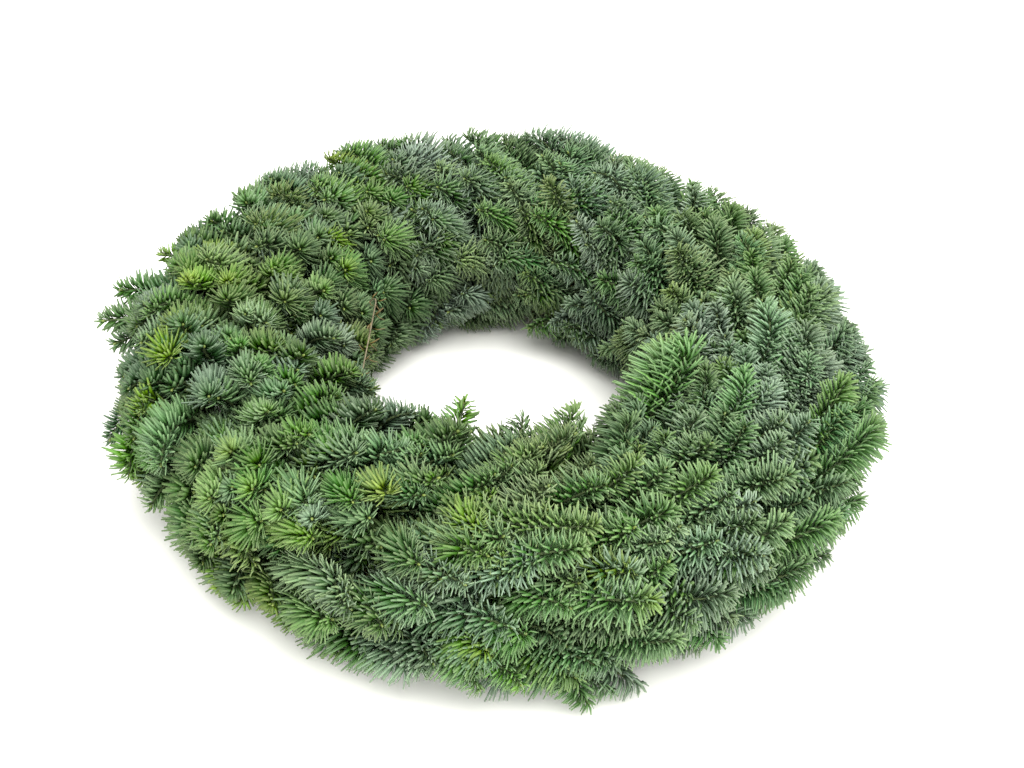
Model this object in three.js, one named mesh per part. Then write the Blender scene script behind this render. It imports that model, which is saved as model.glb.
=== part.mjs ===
// A fresh noble fir wreath, lying flat. Millimetres, +Z up, origin at the middle of the hole
// on the surface that the wreath lies on.
//
// A straw ring is the form. One length of winding wire runs round it in even turns, and each
// turn ties three fir sprays: one on the outside, one on top and one on the inside. A spray
// is one branch tip with its side shoots. Its stem lies along the ring under the wire, and
// its tips rise off the ring and point anticlockwise, over the stems of the next sprays.
import * as THREE from "three";

// ---- Driving dimensions ----
const STATIONS = 18; // turns of the wire, and sprays in each row
const PITCH = 360 / STATIONS; // degrees round the wreath from one turn to the next

const STRAW_CIRCLE = 185; // radius of the circle that the straw's middle follows
const STRAW_CORNER = 27; // middle of the straw to a corner of its eight-sided section
const STRAW_SIDES = 8;
const STRAW_FLAT = STRAW_CORNER * Math.cos(Math.PI / STRAW_SIDES); // to a flat: its height
const GROOVE_DEPTH = 2.8; // how far the tight wire bites into the straw
const GROOVE_HALF_WIDTH = 2.2; // degrees round the wreath

const WIRE_RADIUS = 0.8;
const WIRE_SEAT = 0.4; // wire to straw, and wire to stems

// Where the twigs end: an ellipse round the wreath's section. The needles reach past it.
const FOLIAGE_CIRCLE = 204;
const FOLIAGE_MIDDLE = 67; // its height over the surface
const TIPS_ACROSS = 75; // half its width
const TIPS_UP = 68; // half its height
const LOWEST_TIP = 13; // a twig's tip over the surface

// A twig has three sides. Its radius is from a corner to its middle.
const STEM_RADIUS = 3.4; // at the cut end
const SIDE_RADIUS = 2.8; // of a side shoot where it leaves the main twig
const TIP_RADIUS = 2.2; // where a twig ends in its bud
const STEM_GAP = 0.7; // stem to straw
const UNDER_WIRE = 7; // stem that stays on the straw past its tie
const LIFT = 24; // degrees off the straw at which a stem leaves it
const FORK_ANGLE = 48; // degrees between the main twig and a side shoot at their fork
const FORK_BASE = 5; // length of the fork along the main twig
const FIRST_WHORL = 15; // a side shoot's first needles past its fork
const MAIN_FIRST_WHORL = 9; // the main twig's, past its last fork
const BUD = 5; // length of the bud

// Needles grow in whorls of six.
const NEEDLE_LENGTH = 25;
const NEEDLE_BASE = 2.6; // height of a needle's root along the twig
const NEEDLE_RADII = [2.4, 0.1]; // at its root and its point
const NEEDLE_CLEAR = 0.4; // needle to anything of another twig
const NEEDLE_TILT_LOW = 56; // degrees between needle and twig in the whorl nearest the stem
const NEEDLE_TILT_TIP = 36; // and in the whorl at the bud
const NEEDLE_TILT_LESS = 14; // every other needle lies this much closer to the twig
const NEEDLES_PART = 9; // least degrees between two needles that share an edge at their root
const NEEDLE_RISE = 12; // least degrees between a needle and the face it grows from
const WHORL_TWIST = 30; // degrees that each whorl is turned past the last
const HOLE_CLEAR = 84; // no needle comes nearer to the middle of the hole
const LOWEST_NEEDLE = 0.8;

// The rows. tie: where the stem lies on the straw's section, in degrees from straight out.
// Each shoot ends at an angle round the foliage's section (at) and so many degrees round the
// wreath past its tie (ahead). The first shoot is the main one. The others leave it at a
// share of its free length (from). tilt: how far its tip turns out of the wreath. reach: share
// of the ellipse, 1 where it isn't given.
const ROWS = [
  {
    name: "outer_spray",
    tie: 0,
    stemBack: 24,
    shoots: [
      { at: 14, ahead: 33, tilt: 40, whorls: 4 },
      { at: -46, ahead: 20, tilt: 40, whorls: 3, from: 0.1 },
      { at: 42, ahead: 24, tilt: 46, whorls: 3, from: 0.2 },
      { at: -15, ahead: 26, tilt: 40, whorls: 3, from: 0.34 },
    ],
  },
  {
    name: "top_spray",
    tie: 90,
    stemBack: 22,
    shoots: [
      { at: 90, ahead: 37, tilt: 46, whorls: 4 },
      { at: 66, ahead: 27, tilt: 50, whorls: 3, from: 0.12 },
      { at: 116, ahead: 28, tilt: 50, whorls: 3, from: 0.28 },
    ],
  },
  {
    name: "inner_spray",
    tie: 180,
    stemBack: 15,
    shoots: [
      { at: 166, ahead: 40, tilt: 40, reach: 1.25, whorls: 3 },
      { at: 141, ahead: 31, tilt: 46, reach: 1.25, whorls: 3, from: 0.1 },
      { at: 203, ahead: 27, tilt: 34, reach: 1.15, whorls: 2, from: 0.24 },
    ],
  },
];
// Shoots that stray from their row's rule, by spray and shoot.
const STRAYS = {
  outer_spray_04: { 2: { at: 55, reach: 1.12 } },
  outer_spray_14: { 1: { at: -50, ahead: 27, reach: 1.25 } },
  outer_spray_15: { 1: { at: -52, ahead: 15, reach: 1.15 } },
  outer_spray_18: { 3: { at: -2, reach: 1.06 } },
  inner_spray_11: { 0: { at: 154, ahead: 45, reach: 1.4 } },
  inner_spray_13: { 1: { at: 146, reach: 1.35 } },
  inner_spray_14: { 1: { at: 148, ahead: 28, reach: 1.38 } },
  inner_spray_15: { 0: { at: 160, ahead: 35, reach: 1.2 } },
};
const JITTER_AT = 6; // degrees round the section
const JITTER_AHEAD = 2.5; // degrees round the wreath
const JITTER_TILT = 9;
const JITTER_REACH = 0.06; // share of the ellipse

const STRAW_COLOUR = 0xb59a5b;
const WIRE_COLOUR = 0x35503a;
const GREENS = [0x4f6f49, 0x5b7a5f, 0x6a8350];
const TONE_DRAW = 32; // the draw that mixes the greens evenly in each row

// ---- Places on the wreath ----
const rad = THREE.MathUtils.degToRad;
const deg = THREE.MathUtils.radToDeg;
const mix = THREE.MathUtils.lerp;
const wrap = THREE.MathUtils.euclideanModulo;

// The same numbers each time: from -1 to 1 for a spray, a shoot and a purpose.
function jitter(spray, shoot, purpose) {
  const wave = Math.sin(spray * 12.9898 + shoot * 78.233 + purpose * 37.719) * 43758.5453;
  return 2 * wrap(wave, 1) - 1;
}

// A point by its place round the wreath in degrees, its distance from the axis and height.
function around(phi, radius, height) {
  return new THREE.Vector3(
    radius * Math.cos(rad(phi)),
    radius * Math.sin(rad(phi)),
    height,
  );
}

// A point by its angle and distance from the straw's middle, in the section at phi.
function onStraw(phi, theta, distance) {
  return around(
    phi,
    STRAW_CIRCLE + distance * Math.cos(rad(theta)),
    STRAW_FLAT + distance * Math.sin(rad(theta)),
  );
}

// The unit vector at that angle of the section.
function outward(phi, angle) {
  return around(phi, Math.cos(rad(angle)), Math.sin(rad(angle)));
}

// The unit vector along the wreath, the way the tips point.
function forward(phi) {
  return new THREE.Vector3(-Math.sin(rad(phi)), Math.cos(rad(phi)), 0);
}

// A unit vector some degrees from one direction towards another.
function turned(from, towards, degrees) {
  const side = towards.clone().addScaledVector(from, -towards.dot(from)).normalize();
  return from
    .clone()
    .multiplyScalar(Math.cos(rad(degrees)))
    .addScaledVector(side, Math.sin(rad(degrees)));
}

// A place on the ellipse that the twigs end on.
function onFoliage(phi, angle, reach) {
  return around(
    phi,
    FOLIAGE_CIRCLE + reach * TIPS_ACROSS * Math.cos(rad(angle)),
    Math.max(LOWEST_TIP, FOLIAGE_MIDDLE + reach * TIPS_UP * Math.sin(rad(angle))),
  );
}

// Where a turn of the wire crosses that angle of the section, in degrees round the wreath.
function wireAngle(turn, theta) {
  return PITCH * (turn + theta / 360);
}

// Vertices and triangles as a closed geometry.
function geometryOf(vertices, triangles) {
  const geometry = new THREE.BufferGeometry();
  const numbers = vertices.flatMap((v) => v.toArray());
  geometry.setAttribute("position", new THREE.Float32BufferAttribute(numbers, 3));
  geometry.setIndex(triangles.flat());
  return geometry;
}

// ---- The straw ring ----
// Its rows of corners follow the wire's helix, so that the wire's groove is one of them.
function strawRing() {
  const offsets = [0, GROOVE_HALF_WIDTH, PITCH / 2, PITCH - GROOVE_HALF_WIDTH];
  const grooveCorner = (STRAW_FLAT - GROOVE_DEPTH) / Math.cos(Math.PI / STRAW_SIDES);
  const rows = STATIONS * offsets.length;
  const vertices = [];
  for (let i = 0; i < rows; i++) {
    const turn = Math.floor(i / offsets.length);
    const offset = offsets[i % offsets.length];
    for (let j = 0; j < STRAW_SIDES; j++) {
      const theta = -90 + (360 / STRAW_SIDES) * (j + 0.5);
      const distance = offset === 0 ? grooveCorner : STRAW_CORNER;
      vertices.push(onStraw(wireAngle(turn, theta) + offset, theta, distance));
    }
  }
  // Past a full turn of the section, the rows go on as those of the wire's next turn.
  const corner = (i, j) => {
    const next = Math.floor(j / STRAW_SIDES) * offsets.length;
    return ((i + next) % rows) * STRAW_SIDES + (j % STRAW_SIDES);
  };
  const triangles = [];
  for (let i = 0; i < rows; i++) {
    for (let j = 0; j < STRAW_SIDES; j++) {
      const [a, b] = [corner(i, j), corner(i, j + 1)];
      const [c, d] = [corner(i + 1, j + 1), corner(i + 1, j)];
      triangles.push([a, c, b], [a, d, c]);
    }
  }
  return geometryOf(vertices, triangles);
}

// ---- The winding wire ----
// In one turn it goes over the three stems, and through the groove under the straw.
function wirePath() {
  const stemTop = stemSeat() + STEM_RADIUS;
  const overStem = stemTop + WIRE_SEAT + WIRE_RADIUS;
  const between = STRAW_FLAT - WIRE_SEAT;
  const inGroove = STRAW_FLAT - GROOVE_DEPTH + WIRE_SEAT + WIRE_RADIUS;
  const halfSide = 180 / STRAW_SIDES;
  const under = inGroove / Math.cos(rad(halfSide));
  const turn = [
    [0, overStem],
    [45, between],
    [90, overStem],
    [135, between],
    [180, overStem],
    [225, between],
    [270 - halfSide, under],
    [270 + halfSide, under],
    [315, between],
  ];
  const points = [];
  for (let k = 0; k < STATIONS; k++) {
    for (const [theta, distance] of turn) {
      points.push(onStraw(wireAngle(k, theta), theta, distance));
    }
  }
  return points;
}

// A tube of three sides along points, closed at both ends.
function wireTube(points) {
  const vertices = [];
  const triangles = [[0, 2, 1]];
  points.forEach((point, i) => {
    const before = points[Math.max(i - 1, 0)];
    const after = points[Math.min(i + 1, points.length - 1)];
    const along = after.clone().sub(before).normalize();
    const strawMiddle = around(deg(Math.atan2(point.y, point.x)), STRAW_CIRCLE, STRAW_FLAT);
    const away = point.clone().sub(strawMiddle);
    away.addScaledVector(along, -away.dot(along)).normalize();
    const across = new THREE.Vector3().crossVectors(along, away);
    for (const angle of [60, 180, 300]) {
      vertices.push(
        point
          .clone()
          .addScaledVector(away, WIRE_RADIUS * Math.cos(rad(angle)))
          .addScaledVector(across, WIRE_RADIUS * Math.sin(rad(angle))),
      );
    }
  });
  for (let i = 0; i + 1 < points.length; i++) {
    for (let j = 0; j < 3; j++) {
      const [a, b] = [3 * i + j, 3 * i + ((j + 1) % 3)];
      triangles.push([a, b, b + 3], [a, b + 3, a + 3]);
    }
  }
  const last = 3 * (points.length - 1);
  triangles.push([last, last + 1, last + 2]);
  return geometryOf(vertices, triangles);
}

// ---- Twigs ----
// A path through points, measured along its length.
const SIGHT = 2; // a direction is taken this far to either side
class Path {
  constructor(points) {
    this.points = points;
    this.lengths = [0];
    for (let i = 1; i < points.length; i++) {
      this.lengths.push(this.lengths[i - 1] + points[i].distanceTo(points[i - 1]));
    }
    this.length = this.lengths.at(-1);
  }
  at(distance) {
    let i = 1;
    while (i < this.points.length - 1 && this.lengths[i] < distance) i++;
    const share = (distance - this.lengths[i - 1]) / (this.lengths[i] - this.lengths[i - 1]);
    return this.points[i - 1].clone().lerp(this.points[i], share);
  }
  direction(distance) {
    const ahead = this.at(Math.min(distance + SIGHT, this.length));
    return ahead.sub(this.at(Math.max(distance - SIGHT, 0))).normalize();
  }
}

// The points of a twig that bends from its start to its tip.
const BEND_HANDLE = 0.38; // share of the distance between them
const BEND_STEPS = 24;
function bend(start, startWay, tip, tipWay) {
  const handle = BEND_HANDLE * start.distanceTo(tip);
  return new THREE.CubicBezierCurve3(
    start,
    start.clone().addScaledVector(startWay, handle),
    tip.clone().addScaledVector(tipWay, -handle),
    tip,
  ).getPoints(BEND_STEPS);
}

// Middle of the straw to the middle of a stem. One side of the stem lies on the straw.
function stemSeat() {
  return STRAW_FLAT + STEM_GAP + STEM_RADIUS / 2;
}

// Where a shoot ends, and which way it points there.
function tipOf(spray, index) {
  const shoot = { reach: 1, ...spray.row.shoots[index], ...STRAYS[spray.name]?.[index] };
  const at = shoot.at + JITTER_AT * jitter(spray.number, index, 1);
  const phi = spray.tie + shoot.ahead + JITTER_AHEAD * jitter(spray.number, index, 2);
  const tilt = shoot.tilt + JITTER_TILT * jitter(spray.number, index, 3);
  const reach = shoot.reach + JITTER_REACH * jitter(spray.number, index, 4);
  return { point: onFoliage(phi, at, reach), way: turned(forward(phi), outward(phi, at), tilt) };
}

// The main twig, from its cut end along the straw, off it and out to its tip.
function mainTwig(spray) {
  const { row, tie } = spray;
  const seat = stemSeat();
  const perMillimetre = deg(1) / onStraw(0, row.tie, seat).x;
  const stem = [-row.stemBack, -row.stemBack / 2, 0, UNDER_WIRE].map((distance) =>
    onStraw(tie + distance * perMillimetre, row.tie, seat),
  );
  const leaves = tie + UNDER_WIRE * perMillimetre;
  const tip = tipOf(spray, 0);
  const way = turned(forward(leaves), outward(leaves, row.tie), LIFT);
  const free = bend(stem.at(-1), way, tip.point, tip.way);
  const path = new Path([...stem, ...free.slice(1)]);
  const stemLength = row.stemBack + UNDER_WIRE;
  const freeLength = path.length - stemLength;
  const forks = row.shoots.slice(1).map((shoot, i) => ({
    distance: stemLength + shoot.from * freeLength,
    index: i + 1,
  }));
  return {
    spray,
    path,
    radii: [STEM_RADIUS, TIP_RADIUS],
    bare: [0, stemLength],
    forks,
    leafy: [forks.at(-1).distance + MAIN_FIRST_WHORL, path.length - BUD],
    whorls: row.shoots[0].whorls,
    firstCorner: outward(tie, row.tie),
  };
}

// A side shoot, which grows from one triangle of the main twig.
function sideTwig(main, index, along, root) {
  const start = root[0].clone().add(root[1]).add(root[2]).divideScalar(3);
  const tip = tipOf(main.spray, index);
  const way = turned(along, tip.point.clone().sub(start), FORK_ANGLE);
  const path = new Path(bend(start, way, tip.point, tip.way));
  return {
    spray: main.spray,
    parent: main,
    path,
    radii: [SIDE_RADIUS, TIP_RADIUS],
    bare: [],
    forks: [],
    leafy: [FIRST_WHORL, path.length - BUD],
    whorls: main.spray.row.shoots[index].whorls,
    firstCorner: root[0].clone().sub(start),
  };
}

// The two triangles between each pair of corners of a ring and the ring above it.
function facesOf(lower, upper, j) {
  const next = (j + 1) % 3;
  return [
    [lower[j], lower[next], upper[j]],
    [upper[j], lower[next], upper[next]],
  ];
}

// The rings of corners along a twig. Where something grows from the twig, two rings lie
// close together, and the upper one is turned by half a side: the six triangles between
// them can each carry a needle or a side shoot.
function growRings(twig) {
  const { path } = twig;
  const rings = [];
  const sides = [];
  let across = twig.firstCorner;
  let turn = 0;
  const frameAt = (distance) => {
    const along = path.direction(distance);
    across = across.clone().addScaledVector(along, -across.dot(along)).normalize();
    const third = new THREE.Vector3().crossVectors(along, across);
    const from = across;
    const at = (angle) => turned(from, third, angle);
    return { distance, middle: path.at(distance), along, third, from, at };
  };
  // A ring looks the same every 120 degrees. It takes the turn that wrings the twig least.
  const addRing = (frame, wanted) => {
    turn = rings.length ? turn - 30 + wrap(wanted - turn + 30, 120) : wanted;
    const radius = mix(...twig.radii, frame.distance / path.length);
    const corners = [0, 120, 240].map((angle) =>
      frame.middle.clone().addScaledVector(frame.at(turn + angle), radius),
    );
    rings.push({ ...frame, turn, corners, grows: [] });
    return rings.at(-1);
  };

  for (const distance of twig.bare) addRing(frameAt(distance), turn);
  for (const fork of twig.forks) {
    const lowerFrame = frameAt(fork.distance - FORK_BASE / 2);
    const towards = tipOf(twig.spray, fork.index).point.sub(lowerFrame.middle);
    const facing = deg(Math.atan2(towards.dot(lowerFrame.third), towards.dot(lowerFrame.from)));
    const lower = addRing(lowerFrame, facing - 60);
    const upper = addRing(frameAt(fork.distance + FORK_BASE / 2), turn + 60);
    const j = wrap(Math.round((facing - 60 - lower.turn) / 120), 3);
    const root = facesOf(lower.corners, upper.corners, j)[0];
    const side = sideTwig(twig, fork.index, lower.along, root);
    lower.grows[2 * j] = { twig: side };
    sides.push(side);
  }
  const step = (twig.leafy[1] - twig.leafy[0]) / (twig.whorls - 1);
  for (let w = 0; w < twig.whorls; w++) {
    const middle = twig.leafy[0] + w * step;
    const lower = addRing(frameAt(middle - NEEDLE_BASE / 2), turn + WHORL_TWIST);
    const upper = addRing(frameAt(middle + NEEDLE_BASE / 2), turn + 60);
    lower.whorl = { share: w / (twig.whorls - 1), upper };
  }
  twig.rings = rings;
  return sides;
}

// ---- Needles keep clear of each other and of other twigs ----
const CELL = 16; // the space is kept in cubes of this size
const cells = new Map();

function cellsOf(a, b, margin) {
  const names = [];
  const low = a.clone().min(b).subScalar(margin).divideScalar(CELL).floor();
  const high = a.clone().max(b).addScalar(margin).divideScalar(CELL).floor();
  for (let x = low.x; x <= high.x; x++) {
    for (let y = low.y; y <= high.y; y++) {
      for (let z = low.z; z <= high.z; z++) names.push(`${x},${y},${z}`);
    }
  }
  return names;
}

// Twigs, wire and needles are kept as bars: two ends, each with a radius.
function occupy(bar) {
  for (const name of cellsOf(bar.from, bar.to, 0)) {
    if (!cells.has(name)) cells.set(name, []);
    cells.get(name).push(bar);
  }
}

// The share along a bar at which its middle line comes nearest to another's.
function nearestShare(one, other) {
  const u = one.to.clone().sub(one.from);
  const v = other.to.clone().sub(other.from);
  const w = one.from.clone().sub(other.from);
  const uv = u.dot(v);
  const spread = Math.max(u.lengthSq() * v.lengthSq() - uv * uv, 1e-9);
  return THREE.MathUtils.clamp((uv * v.dot(w) - v.lengthSq() * u.dot(w)) / spread, 0, 1);
}

// The least gap between two bars, tried at several places along each.
function gapBetween(one, other) {
  let least = Infinity;
  for (const [a, b] of [[one, other], [other, one]]) {
    const line = new THREE.Line3(b.from, b.to);
    for (const along of [0, 0.25, 0.5, 0.75, 1, nearestShare(a, b)]) {
      const point = a.from.clone().lerp(a.to, along);
      const share = line.closestPointToPointParameter(point, true);
      const distance = point.distanceTo(line.at(share, new THREE.Vector3()));
      least = Math.min(least, distance - mix(...a.radii, along) - mix(...b.radii, share));
    }
  }
  return least;
}

function isClear(needle) {
  const { from, to } = needle;
  if (to.z < LOWEST_NEEDLE || Math.hypot(to.x, to.y) < HOLE_CLEAR) return false;
  for (const share of [0.25, 0.5, 0.75, 1]) {
    const point = from.clone().lerp(to, share);
    const fromCircle = Math.hypot(point.x, point.y) - STRAW_CIRCLE;
    const fromStraw = Math.hypot(fromCircle, point.z - STRAW_FLAT) - STRAW_CORNER;
    if (fromStraw < NEEDLE_CLEAR + mix(...needle.radii, share)) return false;
  }
  const met = new Set();
  for (const name of cellsOf(from, to, 4)) {
    for (const bar of cells.get(name) ?? []) {
      if (bar.twig === needle.twig && (!bar.ring || bar.ring === needle.ring)) continue;
      if (met.has(bar)) continue;
      met.add(bar);
      if (gapBetween(needle, bar) < NEEDLE_CLEAR) return false;
    }
  }
  return true;
}

// Two needles whose roots share the edge from a to b must not lean over each other.
function parted(a, b, tip, otherTip) {
  const edge = b.clone().sub(a).normalize();
  const [one, other] = [tip, otherTip].map((point) => {
    const side = point.clone().sub(a);
    return side.addScaledVector(edge, -side.dot(edge)).normalize();
  });
  return edge.dot(one.cross(other)) > Math.sin(rad(NEEDLES_PART));
}

// The ways that a needle is tried: as it would grow, and then turned aside step by step.
const ASIDE = [0, 10, -10, 20, -20];
const CLOSER = [0, -10, 10, -18, 18];
const SHORTER = [1, 0.85];

function placeNeedle(twig, ring, j, isDown) {
  const face = facesOf(ring.corners, ring.whorl.upper.corners, j)[isDown];
  const root = face[0].clone().add(face[1]).add(face[2]).divideScalar(3);
  const facing = new THREE.Triangle(...face).getNormal(new THREE.Vector3());
  const share = ring.whorl.share ** 2;
  const tilt = mix(NEEDLE_TILT_LOW, NEEDLE_TILT_TIP, share) - isDown * NEEDLE_TILT_LESS;
  const angle = ring.turn + 60 * (2 * j + 1 + isDown);
  // The needle over each edge that it shares, if there is one yet.
  const [first, second] = isDown ? [2 * j, 2 * j + 2] : [2 * j + 1, 2 * j + 5];
  const beside = isDown
    ? [[face[0], face[1], first], [face[1], face[2], second]]
    : [[face[1], face[2], first], [face[2], face[0], second]];
  for (const length of SHORTER) {
    for (const closer of CLOSER) {
      for (const aside of ASIDE) {
        const way = turned(ring.along, ring.at(angle + aside), tilt + closer);
        const to = root.clone().addScaledVector(way, NEEDLE_LENGTH * length);
        const rises = way.dot(facing) > Math.sin(rad(NEEDLE_RISE));
        const free = beside.every(([a, b, other]) => {
          const neighbour = ring.grows[other % 6];
          return !neighbour || parted(a, b, to, neighbour.tip);
        });
        const needle = { from: root, to, radii: NEEDLE_RADII, twig, ring };
        if (rises && free && isClear(needle)) {
          occupy(needle);
          return { tip: to };
        }
      }
    }
  }
  return undefined;
}

// A spray as one closed body: for each twig its rings, its needles and side shoots, and its
// bud. A side shoot starts from the triangle of the main twig that it grows from.
function sprayGeometry(twigs) {
  const vertices = [];
  const triangles = [];
  const roots = new Map();
  const addCorners = (ring) => ring.corners.map((corner) => vertices.push(corner) - 1);
  const addFace = (face, grown) => {
    if (grown?.twig) {
      roots.set(grown.twig, face);
      return;
    }
    if (!grown) {
      triangles.push(face);
      return;
    }
    const tip = vertices.push(grown.tip) - 1;
    face.forEach((corner, k) => triangles.push([corner, face[(k + 1) % 3], tip]));
  };
  for (const twig of twigs) {
    let lower = roots.get(twig);
    let lowerRing;
    for (const ring of twig.rings) {
      const upper = addCorners(ring);
      if (lower) {
        for (const j of [0, 1, 2]) {
          const [up, down] = facesOf(lower, upper, j);
          addFace(up, lowerRing?.grows[2 * j]);
          addFace(down, lowerRing?.grows[2 * j + 1]);
        }
      } else {
        triangles.push([upper[0], upper[2], upper[1]]);
      }
      lower = upper;
      lowerRing = ring;
    }
    addFace(lower, { tip: twig.path.at(twig.path.length) });
  }
  return geometryOf(vertices, triangles);
}

// ---- Putting it together ----
const wreath = new THREE.Group();

function add(name, geometry, colour, roughness, metalness) {
  const material = new THREE.MeshStandardMaterial({ color: colour, roughness, metalness });
  const mesh = new THREE.Mesh(geometry, material);
  mesh.name = name;
  wreath.add(mesh);
}

add("straw_ring", strawRing(), STRAW_COLOUR, 0.95, 0);
const wirePoints = wirePath();
add("binding_wire", wireTube(wirePoints), WIRE_COLOUR, 0.5, 0.6);
for (let i = 0; i + 1 < wirePoints.length; i++) {
  occupy({ from: wirePoints[i], to: wirePoints[i + 1], radii: [WIRE_RADIUS, WIRE_RADIUS] });
}

const sprays = [];
ROWS.forEach((row, r) => {
  for (let station = 0; station < STATIONS; station++) {
    const name = `${row.name}_${String(station + 1).padStart(2, "0")}`;
    const spray = { name, row, number: r * STATIONS + station, tie: wireAngle(station, row.tie) };
    const main = mainTwig(spray);
    const sides = growRings(main);
    sides.forEach(growRings);
    spray.twigs = [main, ...sides];
    sprays.push(spray);
  }
});

// The twigs are in place before the needles. The needles nearest to a tip come first.
const twigs = sprays.flatMap((spray) => spray.twigs);
for (const twig of twigs) {
  const steps = 10;
  for (let i = 0; i < steps; i++) {
    const ends = [i / steps, (i + 1) / steps];
    const [from, to] = ends.map((share) => twig.path.at(share * twig.path.length));
    occupy({ from, to, radii: ends.map((share) => mix(...twig.radii, share)), twig });
  }
}
const whorls = twigs.flatMap((twig) =>
  twig.rings
    .filter((ring) => ring.whorl)
    .map((ring) => ({ twig, ring, fromTip: twig.path.length - ring.distance })),
);
whorls.sort((a, b) => a.fromTip - b.fromTip);
for (const { twig, ring } of whorls) {
  for (const j of [0, 1, 2]) {
    ring.grows[2 * j] = placeNeedle(twig, ring, j, 0);
    ring.grows[2 * j + 1] = placeNeedle(twig, ring, j, 1);
  }
}

for (const spray of sprays) {
  const tone = Math.floor((GREENS.length / 2) * (1 + jitter(spray.number, 0, TONE_DRAW)));
  add(spray.name, sprayGeometry(spray.twigs), GREENS[tone], 0.7, 0);
}

export default wreath;
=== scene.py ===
# %% [markdown]
# # A fresh noble fir wreath
# The wreath lies flat on a pale floor. A straw ring is its form, a green wire is wound round
# it, and each turn of the wire ties three fir sprays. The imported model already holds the
# ring, the wire and a plain version of each spray. This script keeps the places of those
# pieces and grows the real foliage there: 1,190 shoots, and on them about 138,000 curved
# needles.

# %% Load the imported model
import bpy
import math
from mathutils import Matrix, Vector


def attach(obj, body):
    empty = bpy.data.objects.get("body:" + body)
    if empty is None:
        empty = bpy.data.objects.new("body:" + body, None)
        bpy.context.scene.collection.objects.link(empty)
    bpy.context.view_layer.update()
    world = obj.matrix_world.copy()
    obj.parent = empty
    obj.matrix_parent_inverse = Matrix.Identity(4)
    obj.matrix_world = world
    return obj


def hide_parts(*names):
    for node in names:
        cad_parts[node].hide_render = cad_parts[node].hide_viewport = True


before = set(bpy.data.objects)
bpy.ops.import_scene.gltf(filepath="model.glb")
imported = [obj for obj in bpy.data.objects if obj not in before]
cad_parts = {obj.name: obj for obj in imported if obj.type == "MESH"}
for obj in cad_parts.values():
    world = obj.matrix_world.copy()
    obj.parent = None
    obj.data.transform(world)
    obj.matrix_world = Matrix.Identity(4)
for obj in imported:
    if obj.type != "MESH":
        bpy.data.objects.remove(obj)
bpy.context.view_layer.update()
MM = 0.001

# %% [markdown]
# ## Helpers for colour, nodes and chance
# Colours are picked in sRGB, but shaders work in linear light, so one function
# converts them. A second one adds a node to a shader or a geometry tree, sets it and links
# it, which keeps long trees readable. The third gives repeatable random numbers. Python's
# own would do too, but these come from a sine that the imported model uses as well, so both
# put each shoot in the same place. Every use of chance has its own number, or draws that
# should be free of each other would move together.

# %% Colours, nodes and repeatable chance
DRAW = {
    "at": 1, "ahead": 2, "tilt": 3, "reach": 4,
    "filler place": 11, "filler ahead": 12, "filler reach": 13, "filler tilt": 14,
    "filler sway": 15, "filler leafy": 16,
    "tint": 21, "size": 22, "youth": 23, "bloom": 24, "hue": 25, "green": 32}


def linear(hex_colour):
    """The linear RGBA of an sRGB colour such as #4F6F49, by the sRGB standard's formula."""
    shares = [int(hex_colour[i:i + 2], 16) / 255 for i in (1, 3, 5)]
    return tuple(s / 12.92 if s <= 0.04045 else ((s + 0.055) / 1.055) ** 2.4 for s in shares) + (1.0,)


def add_node(tree, kind, inputs=None, **settings):
    """Adds a node. An input is a number, a colour or the output socket that feeds it."""
    node = tree.nodes.new(kind)
    for name, value in settings.items():
        setattr(node, name, value)
    for socket, value in (inputs or {}).items():
        if isinstance(value, bpy.types.NodeSocket):
            tree.links.new(value, node.inputs[socket])
        else:
            node.inputs[socket].default_value = value
    return node


def jitter(spray, shoot, purpose):
    """From -1 to 1, always the same for the same spray, shoot and purpose.

    The numbers are large and unrelated, so the sine looks like chance.
    """
    wave = math.sin(spray * 12.9898 + shoot * 78.233 + DRAW[purpose] * 37.719) * 43758.5453
    return 2 * (wave - math.floor(wave)) - 1


def mix(a, b, share):
    return a + (b - a) * share


def drawn(limits, spray, shoot, purpose):
    """A chance value between two limits."""
    return mix(*limits, 0.5 + 0.5 * jitter(spray, shoot, purpose))


print("kinds of chance:", len(DRAW))

# %% [markdown]
# ## Where the sprays grow
# A real wreath is bound in one direction: each new bunch covers the stems of the last one.
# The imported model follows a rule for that, and the same rule is written here in the same
# millimetres, so the fine sprays land on the plain ones. A place on the wreath has two
# angles: phi goes round the wreath, and the second one goes round its section, from
# straight out (0) over the top (90) to straight in (180).

# %% Driving dimensions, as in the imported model
STATIONS = 18               # turns of the wire, and sprays in each row
PITCH = 360 / STATIONS      # degrees from one turn to the next
STRAW_CIRCLE = 185          # mm from the axis to the middle of the straw's section
STRAW_CORNER = 27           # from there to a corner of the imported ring's section
STRAW_SIDES = 8
STRAW_FLAT = STRAW_CORNER * math.cos(math.pi / STRAW_SIDES)     # to a flat, and to the floor
FOLIAGE_CIRCLE = 204        # mm from the axis to the middle of the foliage's section
FOLIAGE_MIDDLE = 67         # mm from the floor to it
TIPS_ACROSS = 75            # half the width of the ellipse that the tips end on
TIPS_UP = 68                # and half its height
LOWEST_TIP = 13             # mm above the floor
STEM_RADIUS = 3.4
STEM_GAP = 0.7              # between a stem and the straw
STEM_SEAT = STRAW_FLAT + STEM_GAP + STEM_RADIUS / 2
UNDER_WIRE = 7              # mm of a stem past its turn of wire
LIFT = 24                   # degrees at which a main twig leaves the straw
FORK_ANGLE = 48             # degrees between it and a side shoot at their fork
BEND_HANDLE = 0.38          # how stiffly a twig keeps the direction of its ends
print("height of the ellipse of tips, mm:", FOLIAGE_MIDDLE + TIPS_UP)

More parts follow.
